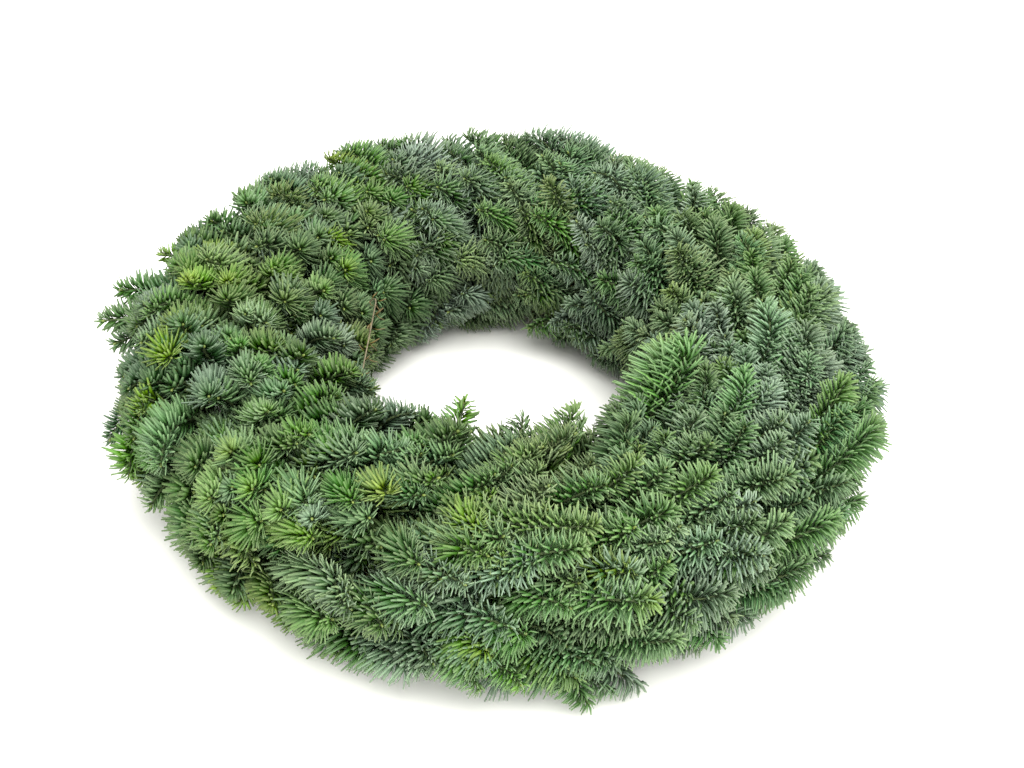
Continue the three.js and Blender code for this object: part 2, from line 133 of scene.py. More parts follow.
# %% [markdown]
# ## The three rows of sprays
# One ring of ties holds three sprays each: one outside, one on top and one inside. Each
# shoot has its angle round the section, the degrees that its tip lies ahead of its tie, the
# tilt of its tip off the surface and the place where it leaves the main twig. A few shoots
# stray from the rule, because the photo shows them sticking out. The outer ones stray as in
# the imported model. The tips of most inner ones end 6 to 20 mm from where they do there, so
# that the edge of the hole follows the photo.

# %% Rows, and the shoots that stray
ROWS = [
    {"name": "outer_spray", "tie": 0, "stem_back": 24, "shoots": [
        {"at": 14, "ahead": 33, "tilt": 40},
        {"at": -46, "ahead": 20, "tilt": 40, "from": 0.1},
        {"at": 42, "ahead": 24, "tilt": 46, "from": 0.2},
        {"at": -15, "ahead": 26, "tilt": 40, "from": 0.34}]},
    {"name": "top_spray", "tie": 90, "stem_back": 22, "shoots": [
        {"at": 90, "ahead": 37, "tilt": 46},
        {"at": 66, "ahead": 27, "tilt": 50, "from": 0.12},
        {"at": 116, "ahead": 28, "tilt": 50, "from": 0.28}]},
    {"name": "inner_spray", "tie": 180, "stem_back": 15, "shoots": [
        {"at": 166, "ahead": 40, "tilt": 40, "reach": 1.25},
        {"at": 141, "ahead": 31, "tilt": 46, "reach": 1.25, "from": 0.1},
        {"at": 203, "ahead": 27, "tilt": 34, "reach": 1.15, "from": 0.24}]},
]
STRAYS = {
    "outer_spray_04": {2: {"at": 55, "reach": 1.12}},
    "outer_spray_14": {1: {"at": -50, "ahead": 27, "reach": 1.25}},
    "outer_spray_15": {1: {"at": -52, "ahead": 15, "reach": 1.15}},
    "outer_spray_18": {3: {"at": -2, "reach": 1.06}},
    "inner_spray_02": {2: {"reach": 1.4}},
    "inner_spray_03": {2: {"reach": 1.36}},
    "inner_spray_05": {2: {"reach": 1.3}},
    "inner_spray_06": {2: {"reach": 1.36}},
    "inner_spray_08": {0: {"reach": 1.34}, 2: {"reach": 1.34}},
    "inner_spray_10": {0: {"reach": 1.17}},
    "inner_spray_11": {0: {"at": 156, "ahead": 43, "reach": 1.13}},
    "inner_spray_13": {1: {"at": 146, "reach": 1.24}},
    "inner_spray_14": {1: {"at": 148, "ahead": 28, "reach": 1.26}},
    "inner_spray_15": {0: {"at": 160, "ahead": 35, "reach": 1.2}},
}
JITTER_AT = 6           # degrees round the section
JITTER_AHEAD = 2.5      # degrees round the wreath
JITTER_TILT = 9
JITTER_REACH = 0.06     # share of the ellipse
print("rows:", len(ROWS), "shoots that stray:", sum(len(shoots) for shoots in STRAYS.values()))


# %% [markdown]
# ## Places and directions
# Everything below is said in these few words: a place by its angle, radius and height, a
# place on the straw, a place on the foliage, the way out of the surface and the way on
# round the wreath.

# %% Places and directions
def around(phi, radius, height):
    phi = math.radians(phi)
    return Vector((radius * math.cos(phi), radius * math.sin(phi), height))


def on_straw(phi, theta, distance):
    theta = math.radians(theta)
    out, up = distance * math.cos(theta), distance * math.sin(theta)
    return around(phi, STRAW_CIRCLE + out, STRAW_FLAT + up)


def outward(phi, angle):
    angle = math.radians(angle)
    return around(phi, math.cos(angle), math.sin(angle))


def forward(phi):
    return around(phi + 90, 1, 0)


def turned(start, towards, degrees):
    side = (towards - start * towards.dot(start)).normalized()
    return start * math.cos(math.radians(degrees)) + side * math.sin(math.radians(degrees))


def tip_direction(phi, at, tilt, sway=0):
    """Forward, swayed downhill or away from the hole, and tilted off the surface."""
    level = turned(forward(phi), forward(phi).cross(outward(phi, at)), sway)
    return turned(level, outward(phi, at), tilt)


def on_foliage(phi, angle, reach):
    angle = math.radians(angle)
    height = FOLIAGE_MIDDLE + reach * TIPS_UP * math.sin(angle)
    radius = FOLIAGE_CIRCLE + reach * TIPS_ACROSS * math.cos(angle)
    return around(phi, radius, max(LOWEST_TIP, height))


# %% [markdown]
# A twig could be an arc, but the end direction of an arc follows from its start, so a tip
# couldn't be turned on its own. A cubic curve knows its direction at both ends. It bends
# like a twig that was pushed aside and grew back towards the light.

# %% Bent twigs
def bend(start, start_way, tip, tip_way, steps=11):
    """Points of a twig that bends from its start to its tip, as a cubic curve."""
    handle = BEND_HANDLE * (tip - start).length
    near, far = start + start_way * handle, tip - tip_way * handle
    points = []
    for i in range(steps + 1):
        t = i / steps
        s = 1 - t
        points.append(start * s ** 3 + near * 3 * s * s * t + far * 3 * s * t * t + tip * t ** 3)
    return points


def length_of(points):
    return sum((b - a).length for a, b in zip(points, points[1:]))


def point_at(points, distance):
    """A place along the points, and the direction there."""
    for a, b in zip(points, points[1:]):
        step = (b - a).length
        if distance <= step or b is points[-1]:
            return a.lerp(b, distance / step), (b - a).normalized()
        distance -= step


# %% [markdown]
# ## Shoots that stand out
# A wreath where every shoot follows one rule looks like roof tiles. The real one has tips
# that catch the eye: a forked sprig on the floor at the front, long combs that lie
# lengthwise, a grey head seen end on, yellow young tips. Each is placed one by one. Its tip is
# (degrees round the wreath, mm from its axis, mm above the floor). Tilt and sway are the
# degrees that its end is turned off the surface and to one side, from is the share of the
# main twig where it leaves, leafy the mm that carry needles, and size scales the needles.
# Tint runs from 0 (darkest) to 1 (freshest green), hue from 0 (yellowish) to 1 (bluish),
# youth turns the tip yellow and bloom is extra wax.

# %% Shoots placed one by one
ACCENTS = {
    "outer_spray_07": [
        {"tip": (167.5, 273, 106), "tilt": 55, "tint": 0.9, "youth": 0.77, "leafy": 45}],
    "outer_spray_08": [
        {"tip": (176.4, 307, 68), "tilt": 66, "from": 0.5, "tint": 0.35, "bloom": 0.2},
        {"tip": (172.5, 299, 84), "tilt": 56, "from": 0.35, "tint": 0.45, "bloom": 0.1},
        {"tip": (178.5, 296, 56), "tilt": 50, "from": 0.4, "tint": 0.2}],
    "outer_spray_09": [
        {"tip": (194.4, 292, 30), "tilt": 40, "sway": 20, "from": 0.4, "size": 0.75, "tint": 0.25},
        {"tip": (183.0, 283, 46), "tilt": 42, "from": 0.2, "tint": 0.6, "bloom": 0.2}],
    "outer_spray_10": [
        {"tip": (209.0, 286, 60), "tilt": 14, "sway": 48, "leafy": 95,
         "tint": 0.9, "hue": 0.25, "youth": 0.24},
        {"tip": (218.0, 277, 102), "tilt": 14, "sway": 32, "tint": 0.7, "bloom": 0.25}],
    "outer_spray_11": [
        {"tip": (229.5, 270, 26), "tilt": 50, "tint": 0.95, "youth": 0.56},
        {"tip": (232.5, 264, 20), "tilt": 40, "from": 0.1, "tint": 0.9, "youth": 0.42},
        {"tip": (229.3, 273, 110), "tilt": 66, "sway": 14, "tint": 0.85, "bloom": 0.25, "leafy": 55}],
    "outer_spray_13": [
        {"tip": (270.6, 281, 36), "tilt": 52, "sway": 20, "tint": 0.9, "youth": 0.63, "leafy": 60},
        {"tip": (276.0, 280, 40), "tilt": 48, "sway": 10, "tint": 1.0, "youth": 0.28, "leafy": 60}],
    "outer_spray_14": [
        {"tip": (285.5, 277, 14), "tilt": 58, "from": 0.5, "tint": 0.75},
        {"tip": (292.1, 277, 103), "tilt": 8, "sway": 8, "leafy": 112, "tint": 0.6, "youth": 0.63},
        {"tip": (296.6, 284, 67), "tilt": 8, "leafy": 105, "tint": 0.45, "youth": 0.21}],
    "outer_spray_15": [
        {"tip": (293.4, 270, 14), "tilt": 34, "from": 0.1, "leafy": 50, "tint": 0.6}],
    "outer_spray_16": [
        {"tip": (345.0, 276, 104), "tilt": 12, "leafy": 108, "tint": 0.65, "youth": 0.28}],
    "outer_spray_17": [
        {"tip": (357.4, 286, 58), "tilt": 26, "leafy": 100, "tint": 0.45, "youth": 0.35}],
    "outer_spray_18": [
        {"tip": (3.5, 290, 68), "tilt": 40, "from": 0.35, "tint": 0.5, "bloom": 0.15}],
    "top_spray_03": [
        {"tip": (88.5, 240, 133), "tilt": 10, "tint": 0.5, "bloom": 0.1, "leafy": 70},
        {"tip": (84.5, 246, 132), "tilt": 10, "from": 0.2, "tint": 0.4, "leafy": 70},
        {"tip": (86.0, 252, 122), "tilt": 14, "from": 0.4, "tint": 0.3, "leafy": 70},
        {"tip": (80.5, 246, 130), "tilt": 10, "from": 0.1, "tint": 0.55, "leafy": 70}],
    "top_spray_08": [
        {"tip": (183.4, 232, 137), "tilt": 55, "size": 0.85, "tint": 0.95, "youth": 0.77, "leafy": 50}],
    "top_spray_11": [
        {"tip": (227.5, 249, 130), "tilt": 70, "tint": 0.6, "bloom": 0.45, "leafy": 50},
        {"tip": (234.3, 257, 123), "tilt": 62, "tint": 0.9, "youth": 0.7, "leafy": 50}],
    "top_spray_12": [
        {"tip": (245.0, 257, 125), "tilt": 68, "size": 0.78, "leafy": 45,
         "tint": 0.0, "bloom": 0.85, "hue": 1.0},
        {"tip": (240.0, 259, 122), "tilt": 66, "tint": 0.85, "bloom": 0.25, "leafy": 55}],
    "top_spray_13": [
        {"tip": (283.6, 251, 131), "tilt": 8, "leafy": 100, "tint": 0.5, "youth": 0.42},
        {"tip": (286.0, 238, 136), "tilt": 10, "from": 0.15, "leafy": 105, "tint": 0.4, "youth": 0.21}],
    "top_spray_15": [
        {"tip": (338.0, 182, 139), "tilt": 24, "sway": -20, "tint": 0.9, "leafy": 85}],
    "top_spray_17": [
        {"tip": (2.5, 190, 140), "tilt": 20, "sway": -18, "tint": 0.95, "bloom": 0.15, "leafy": 95}],
    "inner_spray_11": [
        {"tip": (258.0, 111, 123), "tilt": 98, "size": 0.95, "leafy": 50,
         "tint": 0.9, "hue": 0.1, "youth": 0.35}],
    "inner_spray_12": [
        {"tip": (278.5, 119, 120), "tilt": 90, "size": 1.0, "tint": 0.3, "leafy": 50}],
    "inner_spray_13": [
        {"tip": (298.0, 114, 119), "tilt": 42, "sway": -25, "size": 0.85, "tint": 0.5, "leafy": 50}],
    "inner_spray_15": [
        {"tip": (341.5, 122, 129), "tilt": 12, "sway": -12, "size": 1.4, "leafy": 70,
         "tint": 1.0, "hue": 0.3},
        {"tip": (344.0, 134, 134), "tilt": 12, "sway": -22, "size": 1.35, "leafy": 70,
         "tint": 0.95, "hue": 0.5}],
}
print("shoots placed by hand:", sum(len(shoots) for shoots in ACCENTS.values()))

# %% [markdown]
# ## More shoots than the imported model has
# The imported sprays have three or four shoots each. Real bunches are so full that no straw
# shows. So each spray gets filler shoots from the same main twig. Their tips are spread
# over the spray's share of the surface with steps of the golden ratio, which never line up,
# as leaves do on a real plant. They end in layers: the outermost ones carry every needle,
# and the ones inside carry fewer and broader needles, because they only fill the gaps.
# Between two bunches the photo shows dark pockets. They could be painted dark, but a real
# hollow shades itself from every side, so at six places the fillers end deeper inside.

# %% Rules for the fillers
GOLDEN = 0.618034   # the golden ratio less one
LEAFY = 74          # mm of a shoot that carry needles
MAIN_LEAFY = 82     # the same on the main twig
SPACING = 0.41      # mm along the twig from one needle to the next
SPARSE = 0.85       # the same inside the wreath, where few needles show
BROAD = 1.5         # and there the needles are this much wider, to fill the gaps
# The inside row's fillers get a darker tint: a painted shade for the hollow inner wall of the ring.
FILLERS = {
    "outer_spray": {"count": 20, "span": (-66, 62), "ahead": (6, 38), "reach": (1.04, 1.04)},
    "top_spray": {"count": 18, "span": (42, 142), "ahead": (4, 40), "reach": (1.03, 1.05)},
    "inner_spray": {"count": 16, "span": (118, 238), "ahead": (6, 42), "reach": (1.2, 1.44), "painted_shade_tint": 0.2},
}
POCKETS = [         # degrees round the wreath and round its section
    (72, 159), (94, 201), (112, 132), (218, 54), (248, 33), (341, 50),
]
POCKET_SIZE = (8, 21)           # degrees from its middle to its edge, the same two ways
POCKET_DEPTH = 0.52             # share of the reach that is left there
SWAY = (-42, 42)                # degrees that a filler points to either side
FILLER_TILT = (6, 52)           # degrees that its tip stands off the surface
FILLER_LEAFY = (50, 76)         # mm of it that carry needles
FILLER_ROOTS = (0.02, 0.5)      # share of the free main twig
ROOTS_REACH = (10, 40)          # degrees ahead of the tie where those roots are used
LAYERS = (0.97, 0.79, 0.97, 0.6)    # share of the reach, for one filler after the other
FILLER_START = 0.35             # where on its golden steps the first filler stands
SPRAY_STEP = 0.2                # how far those steps shift from one spray to the next
JITTER_FILLER_AHEAD = 4         # degrees
JITTER_FILLER_REACH = 0.04      # share of the ellipse
ACCENT_FROM = 0.3               # share of the free main twig where a listed shoot leaves
MAIN_TWIG = (2.6, 1.0)          # radii in mm at its root and tip
SIDE_TWIG = (1.3, 0.8)
LEAST_BARE = 6                  # mm of every side shoot, hidden in the spray
print("fillers in all:", STATIONS * sum(rule["count"] for rule in FILLERS.values()))


# %% [markdown]
# ## One spray as a set of twigs
# Every twig is its points, the way its needles turn up, its thickness and how many needles
# it carries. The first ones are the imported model's own shoots: a main twig whose stem lies
# on the straw under the wire, and the side shoots that fork from it.

# %% Main twig and side shoots
def tip_of(spray, index):
    shoot = {"reach": 1, **spray["shoots"][index], **STRAYS.get(spray["name"], {}).get(index, {})}
    at = shoot["at"] + JITTER_AT * jitter(spray["number"], index, "at")
    phi = spray["tie_phi"] + shoot["ahead"] + JITTER_AHEAD * jitter(spray["number"], index, "ahead")
    tilt = shoot["tilt"] + JITTER_TILT * jitter(spray["number"], index, "tilt")
    reach = shoot["reach"] + JITTER_REACH * jitter(spray["number"], index, "reach")
    return on_foliage(phi, at, reach), tip_direction(phi, at, tilt), outward(phi, at)


def main_points(spray):
    tie, row_tie, back = spray["tie_phi"], spray["tie"], spray["stem_back"]
    per_millimetre = math.degrees(1) / on_straw(0, row_tie, STEM_SEAT).x
    on_stem = (-back, -back / 2, 0, UNDER_WIRE)
    stem = [on_straw(tie + d * per_millimetre, row_tie, STEM_SEAT) for d in on_stem]
    leaves = tie + UNDER_WIRE * per_millimetre
    tip, tip_way, up = tip_of(spray, 0)
    way = turned(forward(leaves), outward(leaves, row_tie), LIFT)
    return stem + bend(stem[-1], way, tip, tip_way)[1:], up


def side_points(main, root_distance, tip, tip_way):
    start, along = point_at(main, root_distance)
    return bend(start, turned(along, tip - start, FORK_ANGLE), tip, tip_way)


def side_twig(points, up, leafy=LEAFY, outermost=True):
    return {"points": points, "up": up, "radii": SIDE_TWIG,
            "bare": max(LEAST_BARE, length_of(points) - leafy),
            "spacing": SPACING if outermost else SPARSE, "broad": 1 if outermost else BROAD}


# %% [markdown]
# A filler's place follows from its number, and a listed shoot already has one. Both
# are side shoots like the others, so they grow from the wood and don't float.

# %% Twigs of the fillers and of the listed shoots
def in_pocket(phi, at):
    wide, high = POCKET_SIZE
    for middle_phi, middle_at in POCKETS:
        apart = (phi - middle_phi + 180) % 360 - 180
        if math.hypot(apart / wide, (at - middle_at) / high) < 1:
            return True
    return False


def filler(spray, main, stem, free, i):
    rule, number = FILLERS[spray["row"]], spray["number"]
    share = (i + 0.5 + 0.5 * jitter(number, i, "filler place")) / rule["count"]
    at = mix(*rule["span"], share)
    ahead = mix(*rule["ahead"], (FILLER_START + i * GOLDEN + SPRAY_STEP * number) % 1)
    phi = spray["tie_phi"] + ahead + JITTER_FILLER_AHEAD * jitter(number, i, "filler ahead")
    layer = LAYERS[i % len(LAYERS)]
    hollow = POCKET_DEPTH if in_pocket(phi, at) else 1
    moved = JITTER_FILLER_REACH * jitter(number, i, "filler reach")
    reach = mix(*rule["reach"], share) * layer * hollow + moved
    tilt = drawn(FILLER_TILT, number, i, "filler tilt")
    sway = drawn(SWAY, number, i, "filler sway")
    near, far = ROOTS_REACH
    root = stem + free * mix(*FILLER_ROOTS, min(1, max(0, (ahead - near) / (far - near))))
    points = side_points(main, root, on_foliage(phi, at, reach), tip_direction(phi, at, tilt, sway))
    leafy = drawn(FILLER_LEAFY, number, i, "filler leafy")
    twig = side_twig(points, outward(phi, at), leafy, layer == max(LAYERS))
    return {**twig, "painted_shade_tint": rule.get("painted_shade_tint", 1)}


def accent(main, stem, free, shoot):
    """A side shoot whose tip stands at a place of its own."""
    phi, radius, height = shoot["tip"]
    across, up = (radius - FOLIAGE_CIRCLE) / TIPS_ACROSS, (height - FOLIAGE_MIDDLE) / TIPS_UP
    at = math.degrees(math.atan2(up, across))
    way = tip_direction(phi, at, shoot["tilt"], shoot.get("sway", 0))
    root = stem + shoot.get("from", ACCENT_FROM) * free
    points = side_points(main, root, around(phi, radius, height), way)
    return {**side_twig(points, outward(phi, at), shoot.get("leafy", LEAFY)), **shoot}


# %% [markdown]
# Put together, a spray is its main twig, its side shoots, its fillers and the listed
# shoots. The sprays' names and numbers are those of the imported nodes.

# %% All twigs of one spray, and all sprays
def shoots_of(spray):
    main, up = main_points(spray)
    stem = spray["stem_back"] + UNDER_WIRE
    free = length_of(main) - stem
    twigs = [{**side_twig(main, up, MAIN_LEAFY), "radii": MAIN_TWIG}]
    for index, shoot in enumerate(spray["shoots"][1:], start=1):
        tip, tip_way, up = tip_of(spray, index)
        twigs.append(side_twig(side_points(main, stem + shoot["from"] * free, tip, tip_way), up))
    twigs += [filler(spray, main, stem, free, i) for i in range(FILLERS[spray["row"]]["count"])]
    twigs += [accent(main, stem, free, shoot) for shoot in ACCENTS.get(spray["name"], [])]
    return twigs


sprays = []
for row_number, row in enumerate(ROWS):
    for station in range(STATIONS):
        sprays.append({
            **row,
            "row": row["name"],
            "name": f"{row['name']}_{station + 1:02d}",
            "number": row_number * STATIONS + station,
            "tie_phi": PITCH * (station + row["tie"] / 360),
        })
print("sprays:", len(sprays))

# %% [markdown]
# ## One needle
# A noble fir needle is flat, blunt and bent like a hockey stick, and 10 to 35 mm long. It
# could be a flat card, but then it would vanish edge on. It is repeated about 138,000 times,
# so it starts in a point and gets only three sides and two rings, 7 faces in all: a flat
# face above, and a keel below for the two pale bands of wax. It is drawn a little wider than
# a real one, so that fewer of them cover a shoot.

# %% Needle mesh
NEEDLE_LENGTH = 19.5        # mm along the bend, before each needle is scaled
NEEDLE_WIDTH = 2.2
NEEDLE_KEEL = 1.3           # mm from the flat face to the keel's edge
NEEDLE_BEND = 64            # degrees from root to tip
NEEDLE_RINGS = [(0.5, 1.0), (1.0, 0.52)]    # share of length, share of width
KEEL_START = 0.5            # U where the flat face ends and the keel begins
KEEL_EDGE = 0.75            # U of the keel's edge
NEEDLE_SIDES = [(0, KEEL_START), (KEEL_START, KEEL_EDGE), (KEEL_EDGE, 1)]   # U of each side


def new_object(name, mesh):
    piece = bpy.data.objects.new(name, mesh)
    bpy.context.scene.collection.objects.link(piece)
    return piece


def lean(share):
    """The bend up to a share of the length. Most of it is near the foot, as on a hockey stick."""
    return math.radians(NEEDLE_BEND) * (1 - (1 - share) ** 2)


def needle_middle(share, steps=24):
    place = Vector((0, 0, 0))
    for i in range(steps):
        angle = lean(share * (i + 0.5) / steps)
        place += Vector((math.sin(angle), 0, math.cos(angle))) * NEEDLE_LENGTH * share / steps
    return place


def needle_mesh():
    """A needle along +Z that bends towards +X. U runs round it and V along it."""
    vertices = [needle_middle(0)]
    for share, width in NEEDLE_RINGS:
        away = Vector((math.cos(lean(share)), 0, -math.sin(lean(share))))
        half = Vector((0, width * NEEDLE_WIDTH / 2, 0))
        middle = needle_middle(share)
        vertices += [middle + half, middle - half, middle + away * NEEDLE_KEEL * width]
    near, far = NEEDLE_RINGS[0][0], NEEDLE_RINGS[1][0]
    corners = len(NEEDLE_SIDES)
    faces = [(corners + 1, corners + 2, corners + 3)]
    uvs = [[(KEEL_START / 2, far)] * corners]
    for j, (u0, u1) in enumerate(NEEDLE_SIDES):
        a, b = 1 + j, 1 + (j + 1) % corners
        faces += [(0, b, a), (a, b, b + corners, a + corners)]
        uvs += [[((u0 + u1) / 2, 0), (u1, near), (u0, near)],
                [(u0, near), (u1, near), (u1, far), (u0, far)]]
    mesh = bpy.data.meshes.new("needle")
    mesh.from_pydata([v * MM for v in vertices], [], faces)
    layer = mesh.uv_layers.new(name="UVMap")
    for loop, uv in zip(layer.data, [uv for face in uvs for uv in face]):
        loop.uv = uv
    return mesh


needle = new_object("needle", needle_mesh())
print("faces of a needle:", len(needle.data.polygons))

# %% [markdown]
# ## One bud
# Each shoot ends in a blunt bud. The last needles close over it, so it shows only where
# they part. Rings of six corners, closed at both ends, are enough.

# %% Bud mesh
BUD_LENGTH = 2.8
BUD_RINGS = [(0.0, 0.8), (0.35, 1.1), (0.75, 0.85), (1.0, 0.3)]   # share of length, radius in mm
BUD_SIDES = 6


def lofted(name, rings):
    """A mesh through rings of corners that all have the same count, with both ends closed."""
    sides = len(rings[0])
    faces = []
    for i in range(len(rings) - 1):
        for j in range(sides):
            a, b = i * sides + j, i * sides + (j + 1) % sides
            faces.append((a, b, b + sides, a + sides))
    faces.append(tuple(range(sides - 1, -1, -1)))
    faces.append(tuple(range((len(rings) - 1) * sides, len(rings) * sides)))
    mesh = bpy.data.meshes.new(name)
    mesh.from_pydata([corner for ring in rings for corner in ring], [], faces)
    return mesh


def ring_of(radius, sides):
    angles = [2 * math.pi * j / sides for j in range(sides)]
    return [Vector((radius * math.cos(a), radius * math.sin(a), 0)) for a in angles]


bud_rings = [[(corner + Vector((0, 0, share * BUD_LENGTH))) * MM for corner in ring_of(radius, BUD_SIDES)]
             for share, radius in BUD_RINGS]
bud = new_object("bud", lofted("bud", bud_rings))
print("faces of a bud:", len(bud.data.polygons))

# %% [markdown]
# ## Noble fir foliage
# The green of a noble fir runs from deep to yellowish, shoot by shoot, under a pale wax.
# An image texture would be one way to paint that, but attributes that the shoots and
# needles carry cost nothing and never repeat. One ramp gives each shoot its green by the
# number `shoot_tint`. `needle_tint` varies each needle. Along the needle the foot is darkened
# by painted shade, where the needles crowd round the twig, and the tip is pale, which makes a
# comb of needles read as separate strokes. The keel has two pale bands of wax. `needle_youth`
# turns the last grown needles yellow green.
#
# `shoot_hue` gives each shoot its own hue, from yellowish to bluish, and the bluer ones are
# less saturated. The foot of a needle is painted the most saturated, as painted green light
# that has passed between many needles. The wax scatters light, so the needles shine less than
# a bare leaf.

# %% Foliage material
MIX_A, MIX_B, MIXED = 6, 7, 2       # the sockets of a Mix node that mixes colours
FRESHEST = 0.8                      # most tint of a common shoot
PALE_TIP = (0.6, 1.0)               # share of the needle over which it pales
PALENESS = 0.35                     # at its very tip
# The darker, more saturated foot is painted: painted shade where the needles crowd, and painted green light
# that has passed between them.
SHADED_LENGTH = 0.6                 # share of the needle over which the dark foot fades
SHADED_FOOT = (0.74, 1.04)          # brightness at the foot and where its shade ends
FOOT_SATURATION = (1.5, 1.02)       # saturation at the same two places
NEEDLE_VALUES = (0.82, 1.17)        # brightness of the darkest and the palest needle
SHOOT_HUES = (0.484, 0.52)          # 0.5 leaves the hue alone; less is yellower, more is bluer
SHOOT_SATURATIONS = (1.15, 0.94)    # of the yellowest and the bluest shoot
NEEDLE_ROUGHNESS = 0.5
NEEDLE_IOR = 1.45                   # of plant wax
NEEDLE_SHINE = 0.3                  # 0.5 is the shader's own; the wax is duller


def foliage_material(name, greens, wax, young, tip):
    """greens: the ramp from the darkest common shoot to the palest, and the freshest green."""
    material = bpy.data.materials.new(name)
    material.use_nodes = True
    tree = material.node_tree
    shader = tree.nodes["Principled BSDF"]
    shoot = add_node(tree, "ShaderNodeAttribute", attribute_name="shoot_tint")
    ramp = add_node(tree, "ShaderNodeValToRGB", {"Fac": shoot.outputs["Fac"]})
    stops = ramp.color_ramp.elements
    while len(stops) < len(greens):
        stops.new(0.5)
    for i, colour in enumerate(greens):
        stops[i].position = i * FRESHEST / (len(greens) - 2) if i + 1 < len(greens) else 1.0
        stops[i].color = linear(colour)
    place = add_node(tree, "ShaderNodeUVMap", uv_map="UVMap")
    axes = add_node(tree, "ShaderNodeSeparateXYZ", {0: place.outputs[0]})
    waxed = wax_share(tree, axes.outputs[0])
    green = add_node(tree, "ShaderNodeMix", {
        "Factor": waxed, MIX_A: ramp.outputs["Color"], MIX_B: linear(wax)}, data_type="RGBA")
    pale = add_node(tree, "ShaderNodeMapRange", {
        "Value": axes.outputs[1], "From Min": PALE_TIP[0], "From Max": PALE_TIP[1],
        "To Min": 0.0, "To Max": PALENESS})
    tipped = add_node(tree, "ShaderNodeMix", {
        "Factor": pale.outputs[0], MIX_A: green.outputs[MIXED], MIX_B: linear(tip)}, data_type="RGBA")
    age = add_node(tree, "ShaderNodeAttribute", attribute_name="needle_youth")
    yellowed = add_node(tree, "ShaderNodeMix", {
        "Factor": age.outputs["Fac"], MIX_A: tipped.outputs[MIXED], MIX_B: linear(young)},
        data_type="RGBA")
    hue = add_node(tree, "ShaderNodeAttribute", attribute_name="shoot_hue").outputs["Fac"]
    turned_hue = add_node(tree, "ShaderNodeMapRange", {
        "Value": hue, "To Min": SHOOT_HUES[0], "To Max": SHOOT_HUES[1]})
    varied = add_node(tree, "ShaderNodeHueSaturation", {
        "Hue": turned_hue.outputs[0], "Saturation": needle_saturation(tree, hue, axes.outputs[1]),
        "Value": needle_value(tree, axes.outputs[1]), "Color": yellowed.outputs[MIXED]})
    tree.links.new(varied.outputs[0], shader.inputs["Base Color"])
    shader.inputs["Roughness"].default_value = NEEDLE_ROUGHNESS
    shader.inputs["IOR"].default_value = NEEDLE_IOR
    shader.inputs["Specular IOR Level"].default_value = NEEDLE_SHINE
    return material


# %% [markdown]
# The wax has three sources: the two bands on the keel, patches of bloom that lie over whole
# shoots, and the extra bloom of the grey ones. The stronger of the first two counts, and
# the third is added to it. The patches read Object coordinates, so they are fixed to the
# wreath and as large as a real patch.

# %% Wax on a needle
BAND = (0.02, 0.09)         # U from the keel's edge where a wax band begins and is full
BAND_WAX = (0.1, 0.45)      # share of wax beside and in the bands
PATCH = 35                  # mm across a patch of bloom
PATCH_DETAIL = 3.0
PATCH_NOISE = (0.35, 0.7)   # values of the noise where bloom begins and is full
PATCH_WAX = (0.0, 0.22)     # share of wax beside and in the patches


def wax_share(tree, around_needle):
    from_keel = add_node(tree, "ShaderNodeMath", {
        0: around_needle, 1: KEEL_EDGE}, operation="SUBTRACT")
    off_keel = add_node(tree, "ShaderNodeMath", {0: from_keel.outputs[0]}, operation="ABSOLUTE")
    band = add_node(tree, "ShaderNodeMapRange", {
        "Value": off_keel.outputs[0], "From Min": BAND[0], "From Max": BAND[1],
        "To Min": BAND_WAX[0], "To Max": BAND_WAX[1]})
    below = add_node(tree, "ShaderNodeMath", {
        0: around_needle, 1: KEEL_START}, operation="GREATER_THAN")
    banded = add_node(tree, "ShaderNodeMath", {
        0: band.outputs[0], 1: below.outputs[0]}, operation="MULTIPLY")
    where = add_node(tree, "ShaderNodeTexCoord")
    patches = add_node(tree, "ShaderNodeTexNoise", {
        "Vector": where.outputs["Object"], "Scale": 1 / (PATCH * MM), "Detail": PATCH_DETAIL})
    bloom = add_node(tree, "ShaderNodeMapRange", {
        "Value": patches.outputs["Fac"], "From Min": PATCH_NOISE[0], "From Max": PATCH_NOISE[1],
        "To Min": PATCH_WAX[0], "To Max": PATCH_WAX[1]})
    most = add_node(tree, "ShaderNodeMath", {
        0: banded.outputs[0], 1: bloom.outputs[0]}, operation="MAXIMUM")
    extra = add_node(tree, "ShaderNodeAttribute", attribute_name="shoot_bloom")
    return add_node(tree, "ShaderNodeMath", {
        0: most.outputs[0], 1: extra.outputs["Fac"]}, operation="ADD").outputs[0]


# %% [markdown]
# Saturation and brightness are both a product of two numbers: one for the shoot or the
# needle as a whole, and one that changes from its foot outwards, which is painted shade and
# painted green light at the foot.

# %% Saturation and brightness of a needle
def needle_saturation(tree, hue, along_needle):
    own = add_node(tree, "ShaderNodeMapRange", {
        "Value": hue, "To Min": SHOOT_SATURATIONS[0], "To Max": SHOOT_SATURATIONS[1]})
    foot = add_node(tree, "ShaderNodeMapRange", {
        "Value": along_needle, "From Min": 0.0, "From Max": SHADED_LENGTH,
        "To Min": FOOT_SATURATION[0], "To Max": FOOT_SATURATION[1]})
    return add_node(tree, "ShaderNodeMath", {
        0: own.outputs[0], 1: foot.outputs[0]}, operation="MULTIPLY").outputs[0]


